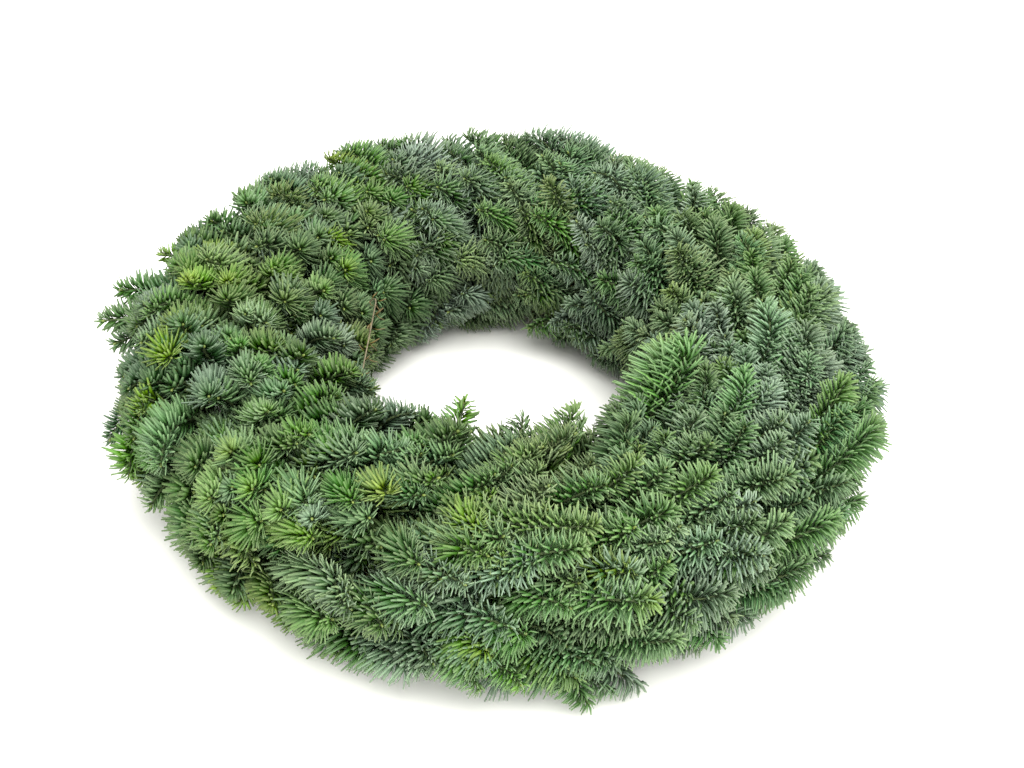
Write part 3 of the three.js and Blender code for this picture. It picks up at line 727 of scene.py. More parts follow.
def needle_value(tree, along_needle):
    one = add_node(tree, "ShaderNodeAttribute", attribute_name="needle_tint")
    own = add_node(tree, "ShaderNodeMapRange", {
        "Value": one.outputs["Fac"], "To Min": NEEDLE_VALUES[0], "To Max": NEEDLE_VALUES[1]})
    foot = add_node(tree, "ShaderNodeMapRange", {
        "Value": along_needle, "From Min": 0.0, "From Max": SHADED_LENGTH,
        "To Min": SHADED_FOOT[0], "To Max": SHADED_FOOT[1]})
    return add_node(tree, "ShaderNodeMath", {
        0: own.outputs[0], 1: foot.outputs[0]}, operation="MULTIPLY").outputs[0]


# %% [markdown]
# Three greens stand for the three kinds of branch that were cut for this wreath. A fourth
# set of colours serves the few needles that have dried to brown.

# %% The greens
foliage = {
    "fir_deep_green": foliage_material(
        "noble_fir_deep_green", ["#1F3A12", "#2B501A", "#336221", "#456C2A", "#528530"],
        wax="#768B70", young="#74894A", tip="#869771"),
    "fir_blue_green": foliage_material(
        "noble_fir_blue_green", ["#233D19", "#305224", "#3D6330", "#50743F", "#528535"],
        wax="#859486", young="#74894A", tip="#919D87"),
    "fir_yellow_green": foliage_material(
        "noble_fir_yellow_green", ["#274112", "#335A1C", "#416923", "#54762A", "#5B8C31"],
        wax="#7C8D70", young="#7A8B4C", tip="#8F9970"),
}
SLOTS = list(foliage)
dry_foliage = foliage_material(
    "dried_fir_needles", ["#4A3E24", "#57492C", "#655737", "#726442", "#65653A"],
    wax="#7C7258", young="#655834", tip="#7C7056")
print("greens:", SLOTS)

# %% [markdown]
# ## Bark, buds, straw and wire
# Young fir bark is smooth, and its olive green is painted green light, which passes between
# and through the needles around it. A dead twig that has lost its bark is a greyish brown.
# The buds are covered in resin, which shines. Old rye straw is a dull gold, and darker where
# it stays damp. Binding wire is lacquered, so it has a clean highlight. All five, and the
# matt floor, are two colours in a noise whose grain is given in millimetres.

# %% Two-colour materials
STOPS = (0.35, 0.65)    # values of the noise that are all dark and all light
GRAIN_DETAIL = 4.0
RELIEF = 0.5            # mm of height that full bump stands for


def plain_material(name, dark, light, grain, roughness, bump=0.0):
    material = bpy.data.materials.new(name)
    material.use_nodes = True
    tree = material.node_tree
    shader = tree.nodes["Principled BSDF"]
    where = add_node(tree, "ShaderNodeTexCoord")
    noise = add_node(tree, "ShaderNodeTexNoise", {
        "Vector": where.outputs["Object"], "Scale": 1 / (grain * MM), "Detail": GRAIN_DETAIL})
    ramp = add_node(tree, "ShaderNodeValToRGB", {"Fac": noise.outputs["Fac"]})
    for stop, colour, position in zip(ramp.color_ramp.elements, (dark, light), STOPS):
        stop.color = linear(colour)
        stop.position = position
    tree.links.new(ramp.outputs["Color"], shader.inputs["Base Color"])
    shader.inputs["Roughness"].default_value = roughness
    if bump:
        relief = add_node(tree, "ShaderNodeBump", {
            "Height": noise.outputs["Fac"], "Strength": bump, "Distance": RELIEF * MM})
        tree.links.new(relief.outputs[0], shader.inputs["Normal"])
    return material


# The bark's olive green is painted green light from the needles around the twigs.
bark = plain_material("young_fir_bark", "#2C3A1C", "#4A5A2E", grain=2.5, roughness=0.8, bump=0.4)
dry_bark = plain_material("peeled_dry_twig", "#5E553F", "#7C7259", grain=4, roughness=0.8, bump=0.3)
resin = plain_material("resinous_bud_scales", "#50602C", "#76863C", grain=1.5, roughness=0.45)
straw = plain_material("bound_rye_straw", "#54461F", "#8C7842", grain=9, roughness=0.7, bump=0.3)
lacquer = plain_material("green_lacquered_wire", "#1F3A26", "#2B4C31", grain=20, roughness=0.4)
print("materials:", len(bpy.data.materials))

# %% [markdown]
# ## Geometry Nodes, from a mesh and back to a mesh
# What repeats or follows a path here is made by Geometry Nodes: needles, straws and wire. A
# tree could stay live on its object, but the finished pieces are plain meshes, because
# those can be exported and checked. So a line mesh goes in, the modifier runs once, and its
# result is copied out.

# %% Make a tree, run a tree
def new_tree(name, inputs):
    tree = bpy.data.node_groups.new(name, "GeometryNodeTree")
    for label, kind in inputs.items():
        tree.interface.new_socket(label, in_out="INPUT", socket_type="NodeSocket" + kind)
    tree.interface.new_socket("Result", in_out="OUTPUT", socket_type="NodeSocketGeometry")
    return tree, tree.nodes.new("NodeGroupInput").outputs, tree.nodes.new("NodeGroupOutput").inputs[0]


def baked(mesh, tree, settings):
    """The result of a tree on a mesh, as a plain mesh."""
    carrier = new_object("carrier", mesh)
    modifier = carrier.modifiers.new(tree.name, "NODES")
    modifier.node_group = tree
    inputs = [item for item in tree.interface.items_tree if item.in_out == "INPUT"]
    socket_of = {item.name: item.identifier for item in inputs}
    for label, value in settings.items():
        modifier[socket_of[label]] = value
    bpy.context.view_layer.update()
    evaluated = carrier.evaluated_get(bpy.context.evaluated_depsgraph_get())
    result = bpy.data.meshes.new_from_object(evaluated)
    bpy.data.objects.remove(carrier)
    return result


# %% [markdown]
# ## The needle tree
# Each twig comes in as a line of edges whose points carry numbers: which way is up, how
# thick the twig is, and so on. The tree turns the line into a curve, makes a round twig of
# it and walks along it in even steps. At each step one needle grows, turned by the golden
# angle past the last one, which is how a real shoot sets its needles. They all sweep up,
# and near the bud they close up into a round end.

# %% What a twig carries, and the needle tree's inputs
CARRIED = {
    "up": "FLOAT_VECTOR", "twig_radius": "FLOAT", "bare": "FLOAT", "shoot_tint": "FLOAT",
    "shoot_bloom": "FLOAT", "shoot_hue": "FLOAT", "needle_size": "FLOAT", "spacing": "FLOAT",
    "broad": "FLOAT", "youth": "FLOAT"}
KEPT = (                # what the material reads
    "shoot_tint", "shoot_bloom", "shoot_hue", "needle_tint", "needle_youth")
GOLDEN_ANGLE = math.radians(137.508)
TWIG_SIDES = 6
UP_SWEEP = 1.3          # how much the needles turn up, against how much they turn out
OPENING_LENGTH = 24     # mm from the bud to where the needles stand fully open
ROUNDED_END = 16        # mm from the bud where the needles are shorter and stand at all angles
STRAIGHTER_END = 24     # mm from the bud where they bend less
YOUNG_END = 17          # mm from the bud that youth colours
LOWEST_NEEDLE = 0.8     # mm above the floor
SEED_STEP = 13          # between the seeds of two kinds of chance
needle_tree, given, needle_result = new_tree("fir_needles", {
    "Twigs": "Geometry", "Needle": "Object", "Bud": "Object", "Tilt at Tip": "Float",
    "Tilt at Foot": "Float", "Foliage": "Material", "Bark": "Material", "Resin": "Material",
    "Seed": "Int"})
on_twig = {
    name: add_node(needle_tree, "GeometryNodeInputNamedAttribute", {"Name": name}, data_type=kind).outputs[0]
    for name, kind in CARRIED.items()}
print("numbers on each point of a twig:", len(CARRIED))

# %% [markdown]
# The twig itself is a round section along the curve, scaled by the twig's radius at each
# point. Then the curve is cut into even steps, which are the feet of the needles. Chance
# comes from Random Value nodes, each with a seed of its own.

# %% Twig, steps and chance
curves = add_node(needle_tree, "GeometryNodeMeshToCurve", {0: given["Twigs"]}).outputs[0]
section = add_node(needle_tree, "GeometryNodeCurvePrimitiveCircle", {
    "Resolution": TWIG_SIDES, "Radius": 1.0})
tube = add_node(needle_tree, "GeometryNodeCurveToMesh", {
    "Curve": curves, "Profile Curve": section.outputs[0], "Scale": on_twig["twig_radius"],
    "Fill Caps": True})
twig = add_node(needle_tree, "GeometryNodeSetMaterial", {
    "Geometry": tube.outputs[0], "Material": given["Bark"]})
steps = add_node(needle_tree, "GeometryNodeResampleCurve", {
    "Curve": curves, "Length": on_twig["spacing"]}, mode="LENGTH").outputs[0]
along = add_node(needle_tree, "GeometryNodeSplineParameter").outputs["Length"]
whole = add_node(needle_tree, "GeometryNodeSplineLength").outputs["Length"]
to_tip = add_node(needle_tree, "ShaderNodeMath", {0: whole, 1: along}, operation="SUBTRACT").outputs[0]
index = add_node(needle_tree, "GeometryNodeInputIndex").outputs[0]

LEAST, MOST, DRAWN = 2, 3, 1        # the sockets of a Random Value node that draws a float
CHANCES = {         # turn in radians, tilt a share of the scatter, tint 0 to 1, the rest factors
    "turn": (-0.14, 0.14), "tilt": (-1.0, 1.0), "length": (0.86, 1.08), "bend": (0.65, 1.2),
    "width": (0.86, 1.12), "tint": (0.0, 1.0)}
chance = {}
for number, (name, (low, high)) in enumerate(CHANCES.items()):
    seed = add_node(needle_tree, "ShaderNodeMath", {
        0: given["Seed"], 1: SEED_STEP * number}, operation="ADD")
    chance[name] = add_node(needle_tree, "FunctionNodeRandomValue", {
        LEAST: low, MOST: high, "Seed": seed.outputs[0]}, data_type="FLOAT").outputs[DRAWN]
print("kinds of chance for a needle:", len(chance))

# %% [markdown]
# Numbers that change towards the bud all follow one pattern: a value at the bud, a value
# further down, and the length between them. A loop makes them, so that they read as a table.

# %% What changes towards the bud
TOWARDS_BUD = {     # name: (value at the bud, value further down, mm between them)
    "scatter": (0.46, 0.09, ROUNDED_END),       # radians
    "length": (0.58, 1.0, ROUNDED_END),
    "bend": (0.75, 1.0, STRAIGHTER_END),
    "youth": (1.0, 0.0, YOUNG_END)}
near_bud = {}
for name, (at_bud, further, length) in TOWARDS_BUD.items():
    near_bud[name] = add_node(needle_tree, "ShaderNodeMapRange", {
        "Value": to_tip, "From Min": 0.0, "From Max": length * MM,
        "To Min": at_bud, "To Max": further}).outputs[0]
near_bud["tilt"] = add_node(needle_tree, "ShaderNodeMapRange", {
    "Value": to_tip, "From Min": 0.0, "From Max": OPENING_LENGTH * MM,
    "To Min": given["Tilt at Tip"], "To Max": given["Tilt at Foot"]}).outputs[0]

# %% [markdown]
# Every step has its own frame: the tangent of the twig, its up side and its right side. The
# angle round the twig picks a direction between up and right, the tilt leans the needle
# from the tangent into that direction, and the sweep says which way it bends.

# %% Direction of each needle
tangent = add_node(needle_tree, "GeometryNodeInputTangent").outputs[0]
side = add_node(needle_tree, "ShaderNodeVectorMath", {
    0: tangent, 1: on_twig["up"]}, operation="CROSS_PRODUCT")
side = add_node(needle_tree, "ShaderNodeVectorMath", {
    0: side.outputs[0]}, operation="NORMALIZE").outputs[0]
up = add_node(needle_tree, "ShaderNodeVectorMath", {
    0: side, 1: tangent}, operation="CROSS_PRODUCT").outputs[0]
angle = add_node(needle_tree, "ShaderNodeMath", {
    0: index, 1: GOLDEN_ANGLE, 2: chance["turn"]}, operation="MULTIPLY_ADD").outputs[0]
tilt = add_node(needle_tree, "ShaderNodeMath", {
    0: chance["tilt"], 1: near_bud["scatter"], 2: near_bud["tilt"]}, operation="MULTIPLY_ADD").outputs[0]


def directed(parts):
    """The sum of directions, each scaled by a number."""
    total = None
    for direction, amount in parts:
        scaled = add_node(needle_tree, "ShaderNodeVectorMath", {
            0: direction, "Scale": amount}, operation="SCALE").outputs[0]
        total = scaled if total is None else add_node(needle_tree, "ShaderNodeVectorMath", {
            0: total, 1: scaled}, operation="ADD").outputs[0]
    return total


turns = {(name, what): add_node(needle_tree, "ShaderNodeMath", {0: value}, operation=what).outputs[0]
         for name, value in (("angle", angle), ("tilt", tilt)) for what in ("COSINE", "SINE")}
radial = directed([(up, turns["angle", "COSINE"]), (side, turns["angle", "SINE"])])
way = directed([(tangent, turns["tilt", "COSINE"]), (radial, turns["tilt", "SINE"])])
bend_way = directed([(radial, 1.0), (up, UP_SWEEP)])
rotation = add_node(needle_tree, "FunctionNodeAxesToRotation", {
    "Primary Axis": way, "Secondary Axis": bend_way}, primary_axis="Z", secondary_axis="X").outputs[0]

# %% [markdown]
# Each needle's size is a product of chance, of its place on the twig and of what the shoot
# says. The bend is a size too: scaling the needle along X makes it straighter.

# %% Size of each needle
def product(*factors):
    total = factors[0]
    for factor in factors[1:]:
        total = add_node(needle_tree, "ShaderNodeMath", {
            0: total, 1: factor}, operation="MULTIPLY").outputs[0]
    return total


long = product(near_bud["length"], chance["length"], on_twig["needle_size"])
size = add_node(needle_tree, "ShaderNodeCombineXYZ", {
    0: product(long, chance["bend"], near_bud["bend"]),
    1: product(chance["width"], on_twig["broad"]), 2: long}).outputs[0]

# %% [markdown]
# Instances are cheap copies of one needle. They are placed, given their own numbers and
# only then made real.

# %% Needles
steps = add_node(needle_tree, "GeometryNodeStoreNamedAttribute", {
    "Geometry": steps, "Name": "youth_here", "Value": product(near_bud["youth"], on_twig["youth"])},
    data_type="FLOAT", domain="POINT").outputs[0]
leafy = add_node(needle_tree, "ShaderNodeMath", {
    0: along, 1: on_twig["bare"]}, operation="GREATER_THAN").outputs[0]
needle_shape = add_node(needle_tree, "GeometryNodeObjectInfo", {
    "Object": given["Needle"]}).outputs["Geometry"]
grown = add_node(needle_tree, "GeometryNodeInstanceOnPoints", {
    "Points": steps, "Selection": leafy, "Instance": needle_shape, "Rotation": rotation,
    "Scale": size}).outputs[0]
youth_here = add_node(
    needle_tree, "GeometryNodeInputNamedAttribute", {"Name": "youth_here"}, data_type="FLOAT").outputs[0]
for name, value in (("needle_tint", chance["tint"]), ("needle_youth", youth_here)):
    grown = add_node(needle_tree, "GeometryNodeStoreNamedAttribute", {
        "Geometry": grown, "Name": name, "Value": value}, data_type="FLOAT", domain="INSTANCE").outputs[0]
needles = add_node(needle_tree, "GeometryNodeRealizeInstances", {0: grown})
needles = add_node(needle_tree, "GeometryNodeSetMaterial", {
    "Geometry": needles.outputs[0], "Material": given["Foliage"]})

# %% [markdown]
# One bud goes to the end of each twig. The last step isn't exactly at the end in numbers, so
# the tree takes any step that is less than a fifth of a millimetre from it.

# %% Buds
AT_END = 0.2        # mm
last = add_node(needle_tree, "ShaderNodeMath", {
    0: to_tip, 1: AT_END * MM}, operation="LESS_THAN").outputs[0]
facing = add_node(needle_tree, "FunctionNodeAxesToRotation", {
    "Primary Axis": tangent, "Secondary Axis": up}, primary_axis="Z", secondary_axis="X").outputs[0]
bud_shape = add_node(needle_tree, "GeometryNodeObjectInfo", {
    "Object": given["Bud"]}).outputs["Geometry"]
buds = add_node(needle_tree, "GeometryNodeInstanceOnPoints", {
    "Points": steps, "Selection": last, "Instance": bud_shape, "Rotation": facing})
buds = add_node(needle_tree, "GeometryNodeRealizeInstances", {0: buds.outputs[0]})
buds = add_node(needle_tree, "GeometryNodeSetMaterial", {
    "Geometry": buds.outputs[0], "Material": given["Resin"]})

# %% [markdown]
# Shoots that hang low would reach through the floor. On the real wreath their needles lie
# on it, so every corner that would be lower is lifted to a little above the floor.

# %% Join, and lay on the floor
NO_LIMIT = -1.0     # m: every corner lies nearer than that, so only its height is held
joined = add_node(needle_tree, "GeometryNodeJoinGeometry")
for part in (needles, twig, buds):
    needle_tree.links.new(part.outputs[0], joined.inputs[0])
spot = add_node(needle_tree, "GeometryNodeInputPosition").outputs[0]
floor_level = add_node(needle_tree, "ShaderNodeVectorMath", {
    0: spot, 1: (NO_LIMIT, NO_LIMIT, LOWEST_NEEDLE * MM)}, operation="MAXIMUM").outputs[0]
laid = add_node(needle_tree, "GeometryNodeSetPosition", {
    "Geometry": joined.outputs[0], "Position": floor_level})
smooth = add_node(needle_tree, "GeometryNodeSetShadeSmooth", {
    "Geometry": laid.outputs[0], "Shade Smooth": True})
needle_tree.links.new(smooth.outputs[0], needle_result)
print("nodes in the needle tree:", len(needle_tree.nodes))

# %% [markdown]
# ## Grow the sprays
# Each spray is first only lines: the twigs' points, with what the tree wants to know
# written on each point. The modifier turns them into foliage, and the result becomes a
# plain mesh that stands for the spray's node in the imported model.

# %% Twig lines
NEEDLE_SIZES = (0.84, 1.16)     # of a whole shoot, against the one needle
YOUTH = {"least": 0.13, "gain": 1.6, "from": 0.72}      # most shoots have a hint, few are yellow
BLOOM = {"least": 0.0, "gain": 0.5, "from": 0.1}        # and some carry a thick bloom


def rare(rule, spray, shoot, purpose):
    """The least value for most shoots, and more for the few whose draw is high."""
    return rule["least"] + rule["gain"] * max(0, jitter(spray, shoot, purpose) - rule["from"])


def twig_lines(number, twigs):
    vertices, edges = [], []
    values = {name: [] for name in CARRIED}
    for i, twig in enumerate(twigs):
        looks = {
            "tint": drawn((0, FRESHEST), number, i, "tint"),
            "size": drawn(NEEDLE_SIZES, number, i, "size"),
            "youth": rare(YOUTH, number, i, "youth"), "bloom": rare(BLOOM, number, i, "bloom"),
            "hue": drawn((0, 1), number, i, "hue"), **twig}
        # Fillers inside the ring are darker: painted shade of its inner wall.
        looks["tint"] *= twig.get("painted_shade_tint", 1)
        points, first = twig["points"], len(vertices)
        for j, point in enumerate(points):
            vertices.append(point * MM)
            here = {
                "up": twig["up"], "twig_radius": mix(*twig["radii"], j / (len(points) - 1)) * MM,
                "bare": twig["bare"] * MM, "shoot_tint": looks["tint"], "shoot_bloom": looks["bloom"],
                "shoot_hue": looks["hue"], "needle_size": looks["size"],
                "spacing": twig["spacing"] * MM, "broad": twig["broad"], "youth": looks["youth"]}
            for name, value in here.items():
                values[name].append(value)
        edges += [(first + j, first + j + 1) for j in range(len(points) - 1)]
    mesh = bpy.data.meshes.new("twig_lines")
    mesh.from_pydata(vertices, edges, [])
    for name, kind in CARRIED.items():
        attribute = mesh.attributes.new(name, kind, "POINT")
        if kind == "FLOAT_VECTOR":
            attribute.data.foreach_set("vector", [c for v in values[name] for c in v])
        else:
            attribute.data.foreach_set("value", values[name])
    return mesh


# %% [markdown]
# The needles lean closer to the twig at its tip and stand more open further down. What the
# tree only needed while it worked is removed from the finished mesh.

# %% Foliage of the sprays
TILT_AT_TIP = math.radians(32)
TILT_AT_FOOT = math.radians(48)


def foliage_mesh(number, twigs, leaves, wood):
    mesh = baked(twig_lines(number, twigs), needle_tree, {
        "Needle": needle, "Bud": bud, "Tilt at Tip": TILT_AT_TIP, "Tilt at Foot": TILT_AT_FOOT,
        "Foliage": leaves, "Bark": wood, "Resin": resin, "Seed": number + 1})
    for name in (*CARRIED, "youth_here"):
        if name not in KEPT and name in mesh.attributes:
            mesh.attributes.remove(mesh.attributes[name])
    return mesh


def triangles_in(mesh):
    return sum(len(face.vertices) - 2 for face in mesh.polygons)


totals = []
for spray in sprays:
    slot = SLOTS[math.floor(len(SLOTS) / 2 * (1 + jitter(spray["number"], 0, "green")))]
    twigs = shoots_of(spray)
    mesh = foliage_mesh(spray["number"], twigs, foliage[slot], bark)
    piece = new_object("foliage_" + spray["name"], mesh)
    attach(piece, "root")
    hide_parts(spray["name"])
    totals.append((len(twigs), triangles_in(piece.data)))
print("shoots:", sum(t[0] for t in totals), "triangles:", sum(t[1] for t in totals),
      "most in one piece:", max(t[1] for t in totals))

# %% [markdown]
# ## A dry twig at the hole
# On the left of the hole one thin twig has lost nearly all its needles and dried to a pale
# line. It grows from the stem of an inside spray, climbs to the edge and follows it. The
# same tree makes it, with a wide spacing and dry colours.

# %% The dry twig
DRY_ROOT = "inner_spray_09"
DRY_FOOT = 24               # mm along that spray's main twig
DRY_START = around(167, 101, 104)
DRY_TIP = around(219.5, 125, 118)
DRY_UP = outward(180, 150)
DRY_BARE = 0.4              # share of it that carries no needles at all
DRY_RADII = (0.8, 0.55)
dry_main, _ = main_points(next(spray for spray in sprays if spray["name"] == DRY_ROOT))
dry_stem, _ = point_at(dry_main, DRY_FOOT)
straight = (DRY_TIP - DRY_START).normalized()
dry_line = bend(dry_stem, (DRY_START - dry_stem).normalized(), DRY_START, straight) + [DRY_TIP]
dry_twig = {
    "points": dry_line, "up": DRY_UP, "radii": DRY_RADII, "bare": DRY_BARE * length_of(dry_line),
    "spacing": 8.0, "broad": 0.6, "size": 0.6, "tint": 0.5, "youth": 0.0, "bloom": 0.0, "hue": 0.4}
dry_piece = new_object("dry_twig", foliage_mesh(len(sprays), [dry_twig], dry_foliage, dry_bark))
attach(dry_piece, "root")
print("dry twig, mm:", round(length_of(dry_line)), "triangles:", triangles_in(dry_piece.data))
bpy.data.objects.remove(needle)
bpy.data.objects.remove(bud)

# %% [markdown]
# ## The straw ring
# The form inside is a bundle of straw pressed into a ring. Almost nothing of it shows, but
# through a gap or from below it has to look like straw. Bent straws could be drawn one by
# one; here each is the same arc of a circle, and Geometry Nodes set hundreds of them round
# the ring and round its section. Two step sizes with no common measure keep the straws from
# lining up. A plain ring inside them stops the light.

# %% Straw mesh
STRAW_RADIUS = 1.7
STRAW_LENGTH = 160
STRAW_STEPS = 8
STRAW_EDGES = 5


def arc_mesh(name, bow, sides, degrees, steps, radius):
    """A bent rod round the Z axis, closed at both ends."""
    rings = []
    for i in range(steps + 1):
        phi = degrees * i / steps
        corners = ring_of(radius, sides)
        rings.append([around(phi, bow + c.x, c.y) for c in reversed(corners)])
    return lofted(name, rings)


straw_arc = arc_mesh(
    "straw_arc", bow=1, sides=STRAW_EDGES, degrees=math.degrees(STRAW_LENGTH / STRAW_CIRCLE),
    steps=STRAW_STEPS, radius=STRAW_RADIUS / STRAW_CIRCLE)
one_straw = new_object("one_straw", straw_arc)
print("faces of a straw:", len(straw_arc.polygons))

# %% [markdown]
# Each straw starts as a point on the wreath's axis, at the height where the straw has to lie.
# The arc was drawn with a radius of 1, so its scale is its distance from the axis, and its
# turn about the axis says where on the ring it begins. A slight wobble and a slightly
# different depth for each keep the bundle from looking machined.

# %% The straw tree
STRAWS = 560
STRAW_LAYER = 22.8      # mm from the middle of the section to the straws
DEPTHS = (0.9, 1.0)     # share of it at which a straw lies
EVEN_STEPS = (0.7548777, 0.5698403)     # one over the plastic number, and its square
STEP_ROUND, STEP_ACROSS = (2 * math.pi * step for step in EVEN_STEPS)
WOBBLE = math.radians(0.1)
WOBBLE_SEEDS = (1, 2)
DEPTH_SEED = 3
straw_tree, given, straw_result = new_tree("straw_bundle", {
    "Core": "Geometry", "Straw": "Object", "Count": "Int", "Layer": "Float", "Material": "Material"})
index = add_node(straw_tree, "GeometryNodeInputIndex").outputs[0]
turned_by, across = (
    add_node(straw_tree, "ShaderNodeMath", {0: index, 1: step}, operation="MULTIPLY").outputs[0]
    for step in (STEP_ROUND, STEP_ACROSS))
out = add_node(straw_tree, "ShaderNodeMath", {0: across}, operation="COSINE").outputs[0]
raised = add_node(straw_tree, "ShaderNodeMath", {0: across}, operation="SINE").outputs[0]
share = add_node(straw_tree, "FunctionNodeRandomValue", {
    LEAST: DEPTHS[0], MOST: DEPTHS[1], "Seed": DEPTH_SEED}, data_type="FLOAT").outputs[DRAWN]
layer = add_node(straw_tree, "ShaderNodeMath", {
    0: share, 1: given["Layer"]}, operation="MULTIPLY").outputs[0]
bow = add_node(straw_tree, "ShaderNodeMath", {
    0: out, 1: layer, 2: STRAW_CIRCLE * MM}, operation="MULTIPLY_ADD").outputs[0]
height = add_node(straw_tree, "ShaderNodeMath", {
    0: raised, 1: layer, 2: STRAW_FLAT * MM}, operation="MULTIPLY_ADD").outputs[0]
middle = add_node(straw_tree, "ShaderNodeCombineXYZ", {2: height}).outputs[0]
points = add_node(straw_tree, "GeometryNodePoints", {"Count": given["Count"], "Position": middle}).outputs[0]
wobbles = [add_node(straw_tree, "FunctionNodeRandomValue", {
    LEAST: -WOBBLE, MOST: WOBBLE, "Seed": seed}, data_type="FLOAT").outputs[DRAWN]
    for seed in WOBBLE_SEEDS]
euler = add_node(straw_tree, "ShaderNodeCombineXYZ", {0: wobbles[0], 1: wobbles[1], 2: turned_by}).outputs[0]
turn = add_node(straw_tree, "FunctionNodeEulerToRotation", {0: euler}).outputs[0]
scale = add_node(straw_tree, "ShaderNodeCombineXYZ", {0: bow, 1: bow, 2: bow}).outputs[0]
shape = add_node(straw_tree, "GeometryNodeObjectInfo", {"Object": given["Straw"]}).outputs["Geometry"]
straws = add_node(straw_tree, "GeometryNodeInstanceOnPoints", {
    "Points": points, "Instance": shape, "Rotation": turn, "Scale": scale})
bundle = add_node(straw_tree, "GeometryNodeJoinGeometry")
for part in (straws.outputs[0], given["Core"]):
    straw_tree.links.new(part, bundle.inputs[0])
bundle = add_node(straw_tree, "GeometryNodeRealizeInstances", {0: bundle.outputs[0]})
bundle = add_node(straw_tree, "GeometryNodeSetMaterial", {
    "Geometry": bundle.outputs[0], "Material": given["Material"]})
straw_tree.links.new(bundle.outputs[0], straw_result)
print("nodes in the straw tree:", len(straw_tree.nodes))

# %% [markdown]
# The core is a plain ring of round section. Blender's own torus would do, but rings of
# corners need no operator and have their place in the mesh at once. The core goes into the
# tree with the straws, so the whole form comes out as one piece.

# %% The core, and the straw ring as one piece
CORE_RADIUS = 21.5
CORE_STEPS = 72
CORE_EDGES = 14
core_corners = []
for i in range(CORE_STEPS):
    for corner in ring_of(CORE_RADIUS, CORE_EDGES):
        place = around(360 * i / CORE_STEPS, STRAW_CIRCLE + corner.x, STRAW_FLAT + corner.y)
        core_corners.append(place * MM)
core_faces = []
for i in range(CORE_STEPS):
    here, there = i * CORE_EDGES, (i + 1) % CORE_STEPS * CORE_EDGES
    for j in range(CORE_EDGES):
        k = (j + 1) % CORE_EDGES
        core_faces.append((here + j, there + j, there + k, here + k))
core = bpy.data.meshes.new("core")
core.from_pydata(core_corners, [], core_faces)
ring_piece = new_object("straw_bundle", baked(core, straw_tree, {
    "Straw": one_straw, "Count": STRAWS, "Layer": STRAW_LAYER * MM, "Material": straw}))
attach(ring_piece, "root")
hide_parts("straw_ring")
print("straws:", STRAWS, "triangles:", triangles_in(ring_piece.data))
bpy.data.objects.remove(one_straw)

# %% [markdown]
# ## The binding wire
# One wire runs round the ring in eighteen turns. It passes over the three stems of each
# turn and lies on the straw between them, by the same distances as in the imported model.
# There it has three sides; here it is round, a small circle swept along the path.

# %% Wire path
WIRE_RADIUS = 0.8
WIRE_SEAT = 0.4         # mm from the wire to the stems, and to the straw underneath
GROOVE_DEPTH = 2.8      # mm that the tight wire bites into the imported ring
OVER_STEM = STEM_SEAT + STEM_RADIUS + WIRE_SEAT + WIRE_RADIUS
ON_STRAW = STRAW_FLAT - WIRE_SEAT
IN_GROOVE = (STRAW_FLAT - GROOVE_DEPTH + WIRE_SEAT + WIRE_RADIUS) / math.cos(math.pi / STRAW_SIDES)
WIRE_TURN = [       # degrees round the section, mm from its middle
    (0, OVER_STEM), (45, ON_STRAW), (90, OVER_STEM), (135, ON_STRAW), (180, OVER_STEM),
    (225, ON_STRAW), (247.5, IN_GROOVE), (292.5, IN_GROOVE), (315, ON_STRAW)]
wire_points = [on_straw(PITCH * (k + theta / 360), theta, distance) * MM
               for k in range(STATIONS) for theta, distance in WIRE_TURN]
wire_path = bpy.data.meshes.new("wire_path")
wire_edges = [(i, (i + 1) % len(wire_points)) for i in range(len(wire_points))]
wire_path.from_pydata(wire_points, wire_edges, [])
print("wire points:", len(wire_points))

# %% [markdown]
# A bevelled curve would make the same round wire, but a tree keeps its radius and material as
# named inputs, as for the needles and the straws.

# %% The wire tree and piece
WIRE_SIDES = 8
wire_tree, given, wire_result = new_tree("wound_wire", {
    "Path": "Geometry", "Radius": "Float", "Material": "Material"})
path = add_node(wire_tree, "GeometryNodeMeshToCurve", {0: given["Path"]}).outputs[0]
round_section = add_node(wire_tree, "GeometryNodeCurvePrimitiveCircle", {
    "Resolution": WIRE_SIDES, "Radius": given["Radius"]}).outputs[0]
wound = add_node(wire_tree, "GeometryNodeCurveToMesh", {
    "Curve": path, "Profile Curve": round_section})
wound = add_node(wire_tree, "GeometryNodeSetShadeSmooth", {
    "Geometry": wound.outputs[0], "Shade Smooth": True})
wound = add_node(wire_tree, "GeometryNodeRealizeInstances", {0: wound.outputs[0]})
wound = add_node(wire_tree, "GeometryNodeSetMaterial", {
    "Geometry": wound.outputs[0], "Material": given["Material"]})
wire_tree.links.new(wound.outputs[0], wire_result)
wire_piece = new_object("round_wire", baked(wire_path, wire_tree, {
    "Radius": WIRE_RADIUS * MM, "Material": lacquer}))
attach(wire_piece, "root")
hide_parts("binding_wire")
print("triangles of the wire:", triangles_in(wire_piece.data))

# %% [markdown]
# ## Floor
# A plain pale floor catches the wreath's shadow. It is one large square, so its edge and the
# horizon stay out of view, and a very faint warm cloudiness keeps it from looking like a
# blank page.

# %% Floor piece
FLOOR = 6.0         # m from its middle to its edge
CLOUDS = 300        # mm across a warmer or a cooler patch
floor_mesh = bpy.data.meshes.new("floor")
floor_mesh.from_pydata([(-FLOOR, -FLOOR, 0), (FLOOR, -FLOOR, 0), (FLOOR, FLOOR, 0), (-FLOOR, FLOOR, 0)],
                       [], [(0, 1, 2, 3)])
floor = new_object("floor", floor_mesh)
floor_mesh.materials.append(plain_material(
    "matt_white_board", "#F2F1EB", "#F7F6F1", grain=CLOUDS, roughness=0.9))
print("floor side, m:", 2 * FLOOR)

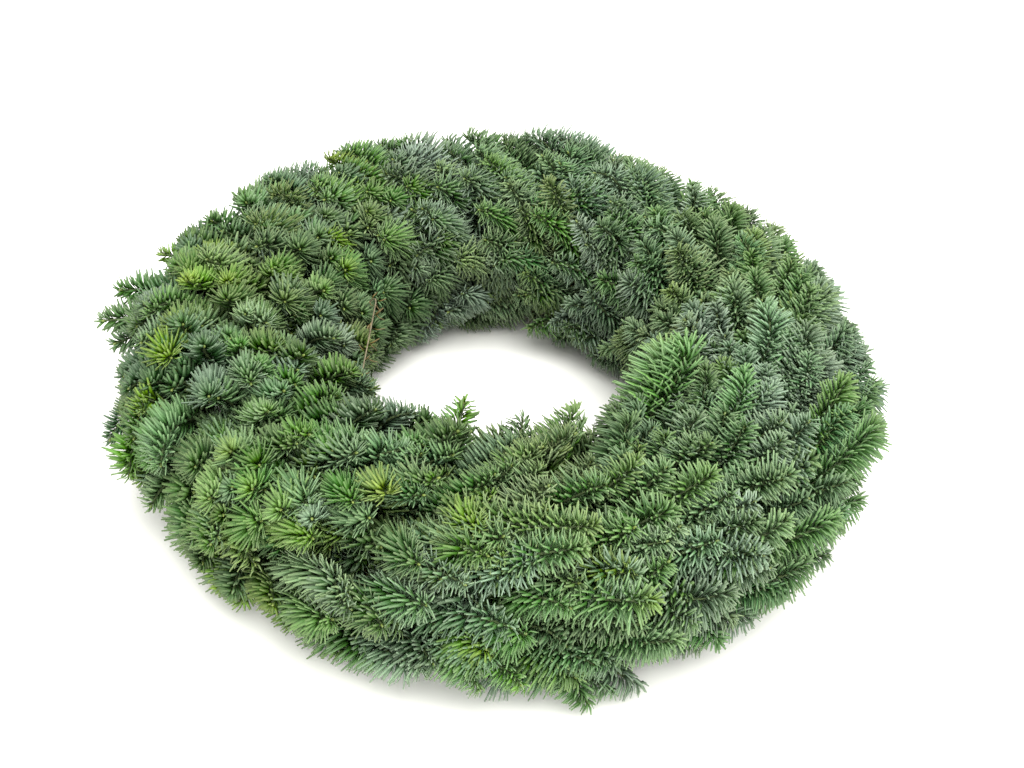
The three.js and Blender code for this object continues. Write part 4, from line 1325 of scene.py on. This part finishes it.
# %% [markdown]
# ## Light
# The photo is taken in bright, even light. A sun would give hard shadows, so a white world
# gives most of it. One wide lamp above, a little to the front and the right, gives the soft
# shadow, and a weaker one low at the front opens the near side.

# %% World and lamps
ROOM = 1.33         # strength of the world's white
LAMP_AIM = Vector((0, 0, 0.05))
LAMPS = [       # name, watts, metres across, place in metres
    ("ceiling_lamp", 60, 1.8, (0.2, -0.45, 1.8)),
    ("front_lamp", 15, 0.9, (0.1, -1.7, 0.5)),
]
world = bpy.data.worlds.new("white_room")
bpy.context.scene.world = world
world.use_nodes = True
background = world.node_tree.nodes["Background"]
background.inputs["Color"].default_value = (1, 1, 1, 1)
background.inputs["Strength"].default_value = ROOM
for name, watts, across_it, spot in LAMPS:
    lamp_data = bpy.data.lights.new(name, "AREA")
    lamp_data.energy = watts
    lamp_data.size = across_it
    lamp = bpy.data.objects.new(name, lamp_data)
    lamp.location = spot
    lamp.rotation_euler = (LAMP_AIM - lamp.location).to_track_quat("-Z", "Y").to_euler()
    bpy.context.scene.collection.objects.link(lamp)
print("lamps:", len(LAMPS))

# %% [markdown]
# ## Camera
# The camera looks down at the wreath and is turned slightly in the hand. Its place follows
# from an angle, a distance and a roll, and its lens from the photo's width. A tiny shift
# does the rest of the framing. The Standard view keeps the whites of a product photo.

# %% Camera at the photo's viewing angle
ELEVATION = math.radians(39.2)
DISTANCE = 1.18         # m from the aim
ROLL = math.radians(4.86)
FOCAL_PIXELS = 1547     # the lens in pixels of the photo
PHOTO_WIDTH = 1024
SENSOR = 36             # mm
OFFSET = (-12.0, -6.0)  # pixels from the photo's middle to the aim, right and down
AIM_HEIGHT = 0.06       # m above the floor, in the middle of the hole
aim = Vector((0, 0, AIM_HEIGHT))
ahead = Vector((0, math.cos(ELEVATION), -math.sin(ELEVATION)))
right = Vector((1, 0, 0))
above = right.cross(ahead)
rolled_right = right * math.cos(ROLL) + above * math.sin(ROLL)
rolled_above = above * math.cos(ROLL) - right * math.sin(ROLL)
place = aim - ahead * DISTANCE
camera_data = bpy.data.cameras.new("camera")
camera_data.sensor_width = SENSOR
camera_data.lens = FOCAL_PIXELS * SENSOR / PHOTO_WIDTH
camera_data.shift_x = -OFFSET[0] / PHOTO_WIDTH
camera_data.shift_y = OFFSET[1] / PHOTO_WIDTH
camera = bpy.data.objects.new("camera", camera_data)
columns = (rolled_right, rolled_above, -ahead, place)
camera.matrix_world = Matrix([[column[i] for column in columns] for i in range(3)] + [[0, 0, 0, 1]])
bpy.context.scene.collection.objects.link(camera)
bpy.context.scene.camera = camera
bpy.context.scene.view_settings.view_transform = "Standard"
print("lens, mm:", round(camera_data.lens, 1))
